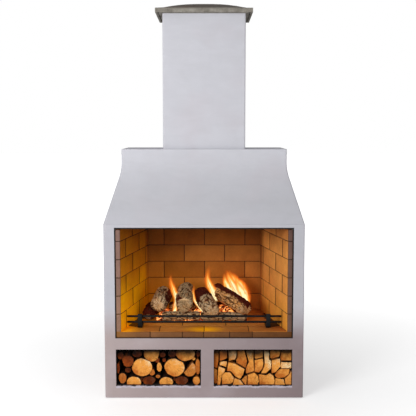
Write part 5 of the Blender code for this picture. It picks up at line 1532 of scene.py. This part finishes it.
# Round logs, some of them split in half: each one's tone from dark to bright, its middle across and up
# as shares of the stack's face, half its width and half its height as shares of the same, and the
# turn in degrees and place of its split side as a share of its radius, where it has one
ROUND_LOG_SHARES = (
    (0.97, 0.302, 0.500, 0.126, 0.272, 0, 1.0),
    (1.00, 0.688, 0.500, 0.126, 0.272, 0, 1.0),
    (0.80, 0.419, 0.900, 0.097, 0.235, 90, 0.42),
    (0.82, 0.820, 0.900, 0.117, 0.235, 90, 0.42),
    (0.30, 0.135, 0.690, 0.072, 0.175, 200, 0.9),
    (0.48, 0.069, 0.190, 0.050, 0.165, 0, 1.0),
    (0.93, 0.204, 0.071, 0.090, 0.174, 270, 0.40),
    (0.12, 0.386, 0.118, 0.076, 0.135, 270, 0.86),
    (0.55, 0.420, 0.350, 0.038, 0.100, 150, 0.5),
    (0.82, 0.508, 0.520, 0.034, 0.145, 0, 1.0),
    (0.50, 0.492, 0.240, 0.032, 0.058, 0, 1.0),
    (0.91, 0.589, 0.071, 0.085, 0.174, 270, 0.40),
    (0.12, 0.775, 0.118, 0.078, 0.130, 270, 0.90),
    (0.62, 0.868, 0.440, 0.086, 0.215, 140, 0.32),
    (0.55, 0.965, 0.520, 0.032, 0.235, 0, 0.9),
    (0.70, 0.950, 0.130, 0.048, 0.130, 0, 0.95),
    (0.88, 0.918, 0.760, 0.026, 0.075, 45, 0.6),
    (0.30, 0.484, 0.712, 0.032, 0.080, 0, 1.0),
    (0.28, 0.568, 0.708, 0.025, 0.068, 0, 1.0),
    (0.15, 0.546, 0.850, 0.040, 0.080, 0, 1.0),
    (0.25, 0.020, 0.480, 0.020, 0.150, 180, 0.8),
    (0.14, 0.045, 0.820, 0.042, 0.110, 180, 0.9),
    (0.08, 0.245, 0.880, 0.060, 0.100, 0, 1.0),
    (0.08, 0.660, 0.880, 0.050, 0.100, 0, 1.0),
    (0.20, 0.972, 0.880, 0.026, 0.100, 0, 1.0),
    (0.05, 0.135, 0.420, 0.040, 0.080, 0, 1.0),
    (0.05, 0.300, 0.140, 0.020, 0.080, 0, 1.0),
    (0.05, 0.690, 0.160, 0.018, 0.070, 0, 1.0),
)
# Split logs: each one's tone, then the corners of its end, as shares of the stack's face
SPLIT_LOG_SHARES = (
    (0.61, (0.00, 1.00), (0.06, 1.00), (0.06, 0.70), (0.04, 0.46), (0.00, 0.50)),
    (0.54, (0.07, 1.00), (0.17, 1.00), (0.17, 0.77), (0.12, 0.71), (0.07, 0.69)),
    (0.80, (0.07, 0.67), (0.12, 0.69), (0.17, 0.68), (0.16, 0.51), (0.11, 0.55), (0.07, 0.57)),
    (0.73, (0.00, 0.48), (0.04, 0.43), (0.04, 0.02), (0.00, 0.02)),
    (0.85,
     (0.06, 0.55), (0.15, 0.48), (0.14, 0.39), (0.10, 0.29), (0.08, 0.00),
     (0.04, 0.00), (0.05, 0.43)),
    (0.90,
     (0.09, 0.28), (0.14, 0.37), (0.21, 0.36), (0.26, 0.20), (0.25, 0.08),
     (0.22, 0.02), (0.10, 0.00)),
    (0.95,
     (0.18, 0.66), (0.27, 0.62), (0.40, 0.45), (0.38, 0.28), (0.34, 0.15),
     (0.27, 0.24), (0.21, 0.40), (0.16, 0.38)),
    (0.66, (0.18, 1.00), (0.29, 1.00), (0.29, 0.81), (0.27, 0.73), (0.19, 0.69)),
    (0.75,
     (0.30, 1.00), (0.39, 1.00), (0.43, 0.68), (0.41, 0.47), (0.29, 0.62),
     (0.28, 0.69), (0.30, 0.81)),
    (0.72, (0.26, 0.20), (0.34, 0.15), (0.39, 0.00), (0.24, 0.00)),
    (0.64, (0.35, 0.14), (0.40, 0.26), (0.43, 0.28), (0.42, 0.00), (0.40, 0.00)),
    (0.98,
     (0.40, 1.00), (0.51, 1.00), (0.51, 0.77), (0.52, 0.37), (0.41, 0.30),
     (0.41, 0.47), (0.45, 0.66)),
    (0.73, (0.52, 1.00), (0.63, 1.00), (0.63, 0.80), (0.54, 0.75), (0.52, 0.77)),
    (0.96,
     (0.52, 0.72), (0.63, 0.76), (0.64, 0.63), (0.63, 0.47), (0.58, 0.34),
     (0.52, 0.36), (0.52, 0.62)),
    (0.97, (0.43, 0.29), (0.52, 0.36), (0.57, 0.26), (0.585, 0.10), (0.57, 0.00), (0.43, 0.00)),
    (0.94,
     (0.64, 1.00), (0.71, 1.00), (0.71, 0.75), (0.74, 0.69), (0.74, 0.48),
     (0.67, 0.33), (0.59, 0.32), (0.64, 0.46), (0.65, 0.63)),
    (0.75, (0.72, 1.00), (0.87, 1.00), (0.84, 0.80), (0.74, 0.74), (0.72, 0.77)),
    (0.95, (0.74, 0.72), (0.85, 0.78), (0.86, 0.54), (0.79, 0.36), (0.74, 0.33)),
    (0.99,
     (0.57, 0.31), (0.67, 0.28), (0.72, 0.34), (0.77, 0.26), (0.79, 0.11),
     (0.78, 0.00), (0.585, 0.00)),
    (0.82, (0.87, 1.00), (1.00, 1.00), (1.00, 0.69), (0.86, 0.69), (0.85, 0.77)),
    (0.87, (0.86, 0.67), (1.00, 0.66), (1.00, 0.48), (0.86, 0.48), (0.85, 0.55)),
    (1.00,
     (0.86, 0.46), (0.98, 0.45), (0.97, 0.30), (0.91, 0.20), (0.82, 0.16),
     (0.78, 0.26), (0.81, 0.40)),
    (0.79, (1.00, 0.43), (1.00, 0.00), (0.92, 0.00), (0.91, 0.18), (0.97, 0.30)),
    (0.87, (0.79, 0.20), (0.90, 0.17), (0.92, 0.00), (0.78, 0.00)),
)
SPOKES = 80


def stagger(look, number, tone):
    """How far one log's end stands behind the nearest one: dark ones are those that were pushed back."""
    return look.stagger * (0.4 + 0.4 * math.sin(2.4 * number + 1) + 1.1 * max(0.45 - tone, 0))


def oval_outline(half_width, half_height, split_turn, split_share, seed):
    """The middle and the reaches of a round log, out of round and flat where it was split."""
    reaches = []
    for turn in circle(SPOKES):
        way = Vector((math.cos(turn), math.sin(turn)))
        reach = 1 / math.hypot(way.x / half_width, way.y / half_height)
        reach *= 1.02 - 0.18 * max(noise.noise(Vector((*(way * 1.1), seed * 3.7))), 0)
        facing = math.cos(turn - math.radians(split_turn))
        if split_share < 1 and facing > 0:
            reach = min(reach, split_share * min(half_width, half_height) / facing)
        bump = noise.fractal(Vector((*(way * 5), seed * 5.1)), 0.8, 2.0, 3)
        reaches.append(reach - 1.2 * MM * (1 + max(bump, -1)))
    return reaches


def cornered_outline(corners, middle, seed):
    """The reaches of a split log from its middle to its edges, wavy and torn, with a gap all round."""
    reaches = []
    for turn in circle(SPOKES):
        way = Vector((math.cos(turn), math.sin(turn)))
        best = 0.0
        for here, after in zip(corners, corners[1:] + corners[:1]):
            side, to = after - here, here - middle
            cross = way.cross(side)
            if abs(cross) < 1e-9:
                continue
            share = to.cross(way) / cross
            if -1e-6 <= share <= 1 + 1e-6:
                best = max(best, to.cross(side) / cross)
        wave = noise.noise(Vector((*((middle + way * best) * 34), seed)))
        torn = noise.fractal(Vector((*(way * 4.2), seed * 7.3)), 0.8, 2.1, 4)
        reaches.append(max(best - (0.4 + 1.1 * max(wave, 0) + 0.8 * max(torn, 0)) * MM, 3 * MM))
    return reaches


def add_log(shape, layers, middle, reaches, tone, pith, bark_way, front, length, seed):
    """One stacked log: a bowed body with a bark side, and sawn or torn ends that stand a little askew."""
    rings, caps = 10, 12
    lean = Vector((noise.noise(Vector((seed, 1, 5))), noise.noise(Vector((seed, 7, 2))))) * 0.14

    def add_point(turn, reach, along, rim, edge):
        """One point of the log, with its grain about the pith of the tree that it came from."""
        way = Vector((math.cos(turn), math.sin(turn)))
        spot = way * reach
        askew = (spot.dot(lean) + abs(lean.x) * 20 * MM) * max(1 - along / (40 * MM), 0)
        point = shape.verts.new((middle.x + spot.x, front + along + askew, middle.y + spot.y))
        bark = 1.0 if bark_way is None else step_up(0.0, 0.3, way.dot(bark_way))
        point[layers["tone"]] = tone
        point[layers["rim"]] = rim
        point[layers["barked"]] = bark * edge
        point[layers["grain"]] = Vector((spot.x - pith.x, along, spot.y - pith.y))
        return point

    loops = []
    for ring in range(rings + 1):
        along = length * (0.5 - 0.5 * math.cos(math.pi * ring / rings))
        loop = []
        for turn, reach in zip(circle(SPOKES), reaches):
            wave = noise.noise(Vector((turn * 1.5, along * 11, seed)))
            soft = 1.0 * MM * (1 - step_up(0, 8 * MM, min(along, length - along)))
            loop.append(add_point(turn, reach - soft - 1.2 * MM * max(wave, 0), along, 1.0, 1.0))
        loops.append(loop)
    skin(shape, loops, turned=True)
    for loop, along, way in ((loops[0], 0, 1), (loops[-1], length, -1)):
        outer = loop
        for cap in range(1, caps + 1):
            share = 1 - cap / (caps + 1)
            inner = []
            for turn, full in zip(circle(SPOKES), reaches):
                reach = full * share
                x, z = math.cos(turn) * reach - pith.x, math.sin(turn) * reach - pith.y
                ray = noise.noise(Vector((math.atan2(z, x) * 5, math.hypot(x, z) * 14, seed)))
                torn = noise.fractal(Vector((x * 38, z * 38, seed * 3)), 0.8, 2.0, 3)
                dent = (0.8 + 1.0 * torn + 1.6 * max(ray, 0)) * MM
                inner.append(add_point(turn, reach, along + way * dent, 0.5 * (cap == 1), 0.0))
            skin(shape, (outer, inner))
            outer = inner
        heart = add_point(0, 0, along + way * 0.8 * MM, 0.0, 0.0)
        fan(shape, outer, heart)


def stack_mesh(name, look, store, logs):
    """A stack of logs in a store. Each log is given as its tone, middle, reaches, pith and bark side."""
    shape = bmesh.new()
    layers = float_layers(shape, "tone", "rim", "barked")
    layers["grain"] = shape.verts.layers.float_vector.new("grain")
    width = store[1] - store[0] - 2 * look.side_room
    height = STORE_HEAD - STORE_FLOOR - look.headroom
    start = Vector((store[0] + look.side_room, STORE_FLOOR + 0.4 * MM))
    for number, (tone, middle, reaches, pith, bark_way) in enumerate(logs(width, height)):
        front = BODY_FRONT + look.stack_front + stagger(look, number, tone)
        place = start + middle
        add_log(shape, layers, place, reaches, tone, pith, bark_way, front, look.log_length, number)
    bmesh.ops.recalc_face_normals(shape, faces=shape.faces)
    return mesh_of(shape, name, 50)


def round_logs(width, height):
    """The round logs of a stack of this size."""
    for seed, (tone, across, up, half_width, half_height, turn, share) in enumerate(ROUND_LOG_SHARES):
        reaches = oval_outline(half_width * width, half_height * height, turn, share, seed)
        off = Vector((noise.noise(Vector((seed, 3, 3))), noise.noise(Vector((seed, 9, 9)))))
        pith = off * half_width * width * 0.3
        split = Vector((-math.cos(math.radians(turn)), -math.sin(math.radians(turn))))
        yield tone, Vector((across * width, up * height)), reaches, pith, split if share < 1 else None


def split_logs(width, height):
    """The split logs of a stack of this size."""
    for seed, (tone, *shares) in enumerate(SPLIT_LOG_SHARES):
        corners = [Vector((across * width, up * height)) for across, up in shares]
        middle = sum(corners, Vector((0, 0))) / len(corners)
        pith_turn = 2.4 * seed
        pith = Vector((math.cos(pith_turn), math.sin(pith_turn))) * (30 + 25 * math.sin(seed)) * MM
        yield tone, middle, cornered_outline(corners, middle, seed), pith, -pith.normalized()


def stack_firewood(context, kind, hand, store, logs):
    """Stacks one kind of firewood in one of the stores."""
    look = context.scene.fireplace_firewood
    name = kind + "_firewood"
    mesh = stack_mesh(name, look, store, logs)
    make_piece(name, mesh, firewood_finish(look), hand + "_logs", (kind + "_log_stack",))
    return {"FINISHED"}


class FIREPLACE_OT_round_firewood(bpy.types.Operator):
    """Stack the round firewood in the left store"""

    bl_idname = "fireplace.round_firewood"
    bl_label = "Round firewood"

    def execute(self, context):
        return stack_firewood(context, "round", "left", LEFT_STORE, round_logs)


class FIREPLACE_OT_split_firewood(bpy.types.Operator):
    """Stack the split firewood in the right store"""

    bl_idname = "fireplace.split_firewood"
    bl_label = "Split firewood"

    def execute(self, context):
        return stack_firewood(context, "split", "right", RIGHT_STORE, split_logs)


# Stage

# The camera that fits the photograph: its place, how many degrees it looks down, and its lens in mm
CAMERA_PLACE, CAMERA_DOWN, CAMERA_LENS = (0.022, -4.625, 1.524), 5.87, 67.8
# Each lamp's place and width in metres, and the point that both are turned to
LAMPS = {"key": ((-2.5, -3.7, 1.9), 1.8), "fill": ((2.6, -4.4, 1.3), 2.4)}
LIT_MIDDLE = Vector((0, 0, 1.0))


class FIREPLACE_OT_stage(bpy.types.Operator):
    """Set the floor, the soft lamps and the camera"""

    bl_idname = "fireplace.stage"
    bl_label = "Stage"

    def execute(self, context):
        scene = context.scene
        look = scene.fireplace_stage
        shape = bmesh.new()
        bmesh.ops.create_grid(shape, x_segments=1, y_segments=1, size=40)
        bmesh.ops.translate(shape, vec=(0, 0, -0.3 * MM), verts=shape.verts)
        floor = show("plain_floor", mesh_of(shape, "plain_floor"))
        material, add, shader = new_finish("matt_white_floor", Roughness=0.9, Specular_IOR_Level=0.1)
        # White to the camera, with the object's shadow kept
        eye = add("LightPath").outputs["Is Camera Ray"]
        far = add("VectorMath LENGTH", [add("TexCoord").outputs["Object"]])
        lift = add("Math MULTIPLY", [eye, add("MapRange", [far, 0.8, 4.0, look.floor_lift, 0.9])])
        feed(shader, {"Base Color": look.floor, "Emission Color": "#ffffff", "Emission Strength": lift})
        floor.data.materials.append(material)
        floor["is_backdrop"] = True

        world = bpy.data.worlds.new("studio")
        scene.world = world
        world.use_nodes = True
        world.node_tree.nodes.clear()
        add = partial(add_node, world.node_tree)
        ray = add("LightPath").outputs
        soft = add("Background", ["#ffffff", look.ambient])
        white = add("Background", ["#ffffff", 1.0])
        glossy = add("Math MAXIMUM", [ray["Is Camera Ray"], ray["Is Glossy Ray"]])
        seen = add("Math MAXIMUM", [glossy, ray["Is Transmission Ray"]])
        add("OutputWorld", [add("MixShader", [seen, soft, white])])

        for name, (place, size) in LAMPS.items():
            lamp = bpy.data.lights.new(name + "_lamp", "AREA")
            lamp.size = size
            lamp.energy = getattr(look, name)
            holder = show(name + "_lamp", lamp)
            holder.location = place
            aim = LIT_MIDDLE - holder.location
            holder.rotation_euler = aim.to_track_quat("-Z", "Y").to_euler()

        lens = bpy.data.cameras.new("photo_camera")
        lens.lens = CAMERA_LENS
        lens.sensor_width = 36
        camera = show("photo_camera", lens)
        camera.location = CAMERA_PLACE
        camera.rotation_euler = (math.radians(90 - CAMERA_DOWN), 0, 0)
        scene.camera = camera
        scene.view_settings.view_transform = "Standard"
        return {"FINISHED"}


class FIREPLACE_PT_panel(bpy.types.Panel):
    """Lists what makes the fireplace"""

    bl_label = "Outdoor fireplace"
    bl_idname = "FIREPLACE_PT_panel"
    bl_space_type = "VIEW_3D"
    bl_region_type = "UI"
    bl_category = "Fireplace"

    def draw(self, context):
        for operator in OPERATORS:
            self.layout.operator(operator.bl_idname)
        for key, group in GROUPS.items():
            box = self.layout.box()
            for label in group.__annotations__:
                box.prop(getattr(context.scene, key), label)


OPERATORS = (
    FIREPLACE_OT_render,
    FIREPLACE_OT_blocks,
    FIREPLACE_OT_cap,
    FIREPLACE_OT_bricks,
    FIREPLACE_OT_guard,
    FIREPLACE_OT_burning_logs,
    FIREPLACE_OT_embers,
    FIREPLACE_OT_flames,
    FIREPLACE_OT_round_firewood,
    FIREPLACE_OT_split_firewood,
    FIREPLACE_OT_stage,
)


CLASSES = (*GROUPS.values(), *OPERATORS, FIREPLACE_PT_panel)


def register():
    for kind in CLASSES:
        bpy.utils.register_class(kind)
    for key, group in GROUPS.items():
        setattr(bpy.types.Scene, key, bpy.props.PointerProperty(type=group))


def unregister():
    for key in GROUPS:
        delattr(bpy.types.Scene, key)
    for kind in reversed(CLASSES):
        bpy.utils.unregister_class(kind)


def main():
    register()
    bpy.ops.fireplace.render_coat()
    bpy.ops.fireplace.blocks()
    bpy.ops.fireplace.cap()
    bpy.ops.fireplace.firebricks()
    bpy.ops.fireplace.guard()
    bpy.ops.fireplace.burning_logs()
    bpy.ops.fireplace.embers()
    bpy.ops.fireplace.flames()
    bpy.ops.fireplace.round_firewood()
    bpy.ops.fireplace.split_firewood()
    bpy.ops.fireplace.stage()
    boxes = [[list(map(float, corner)) for corner in box] for box in (CAD_BOX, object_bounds())]


if __name__ == "__main__":
    main()
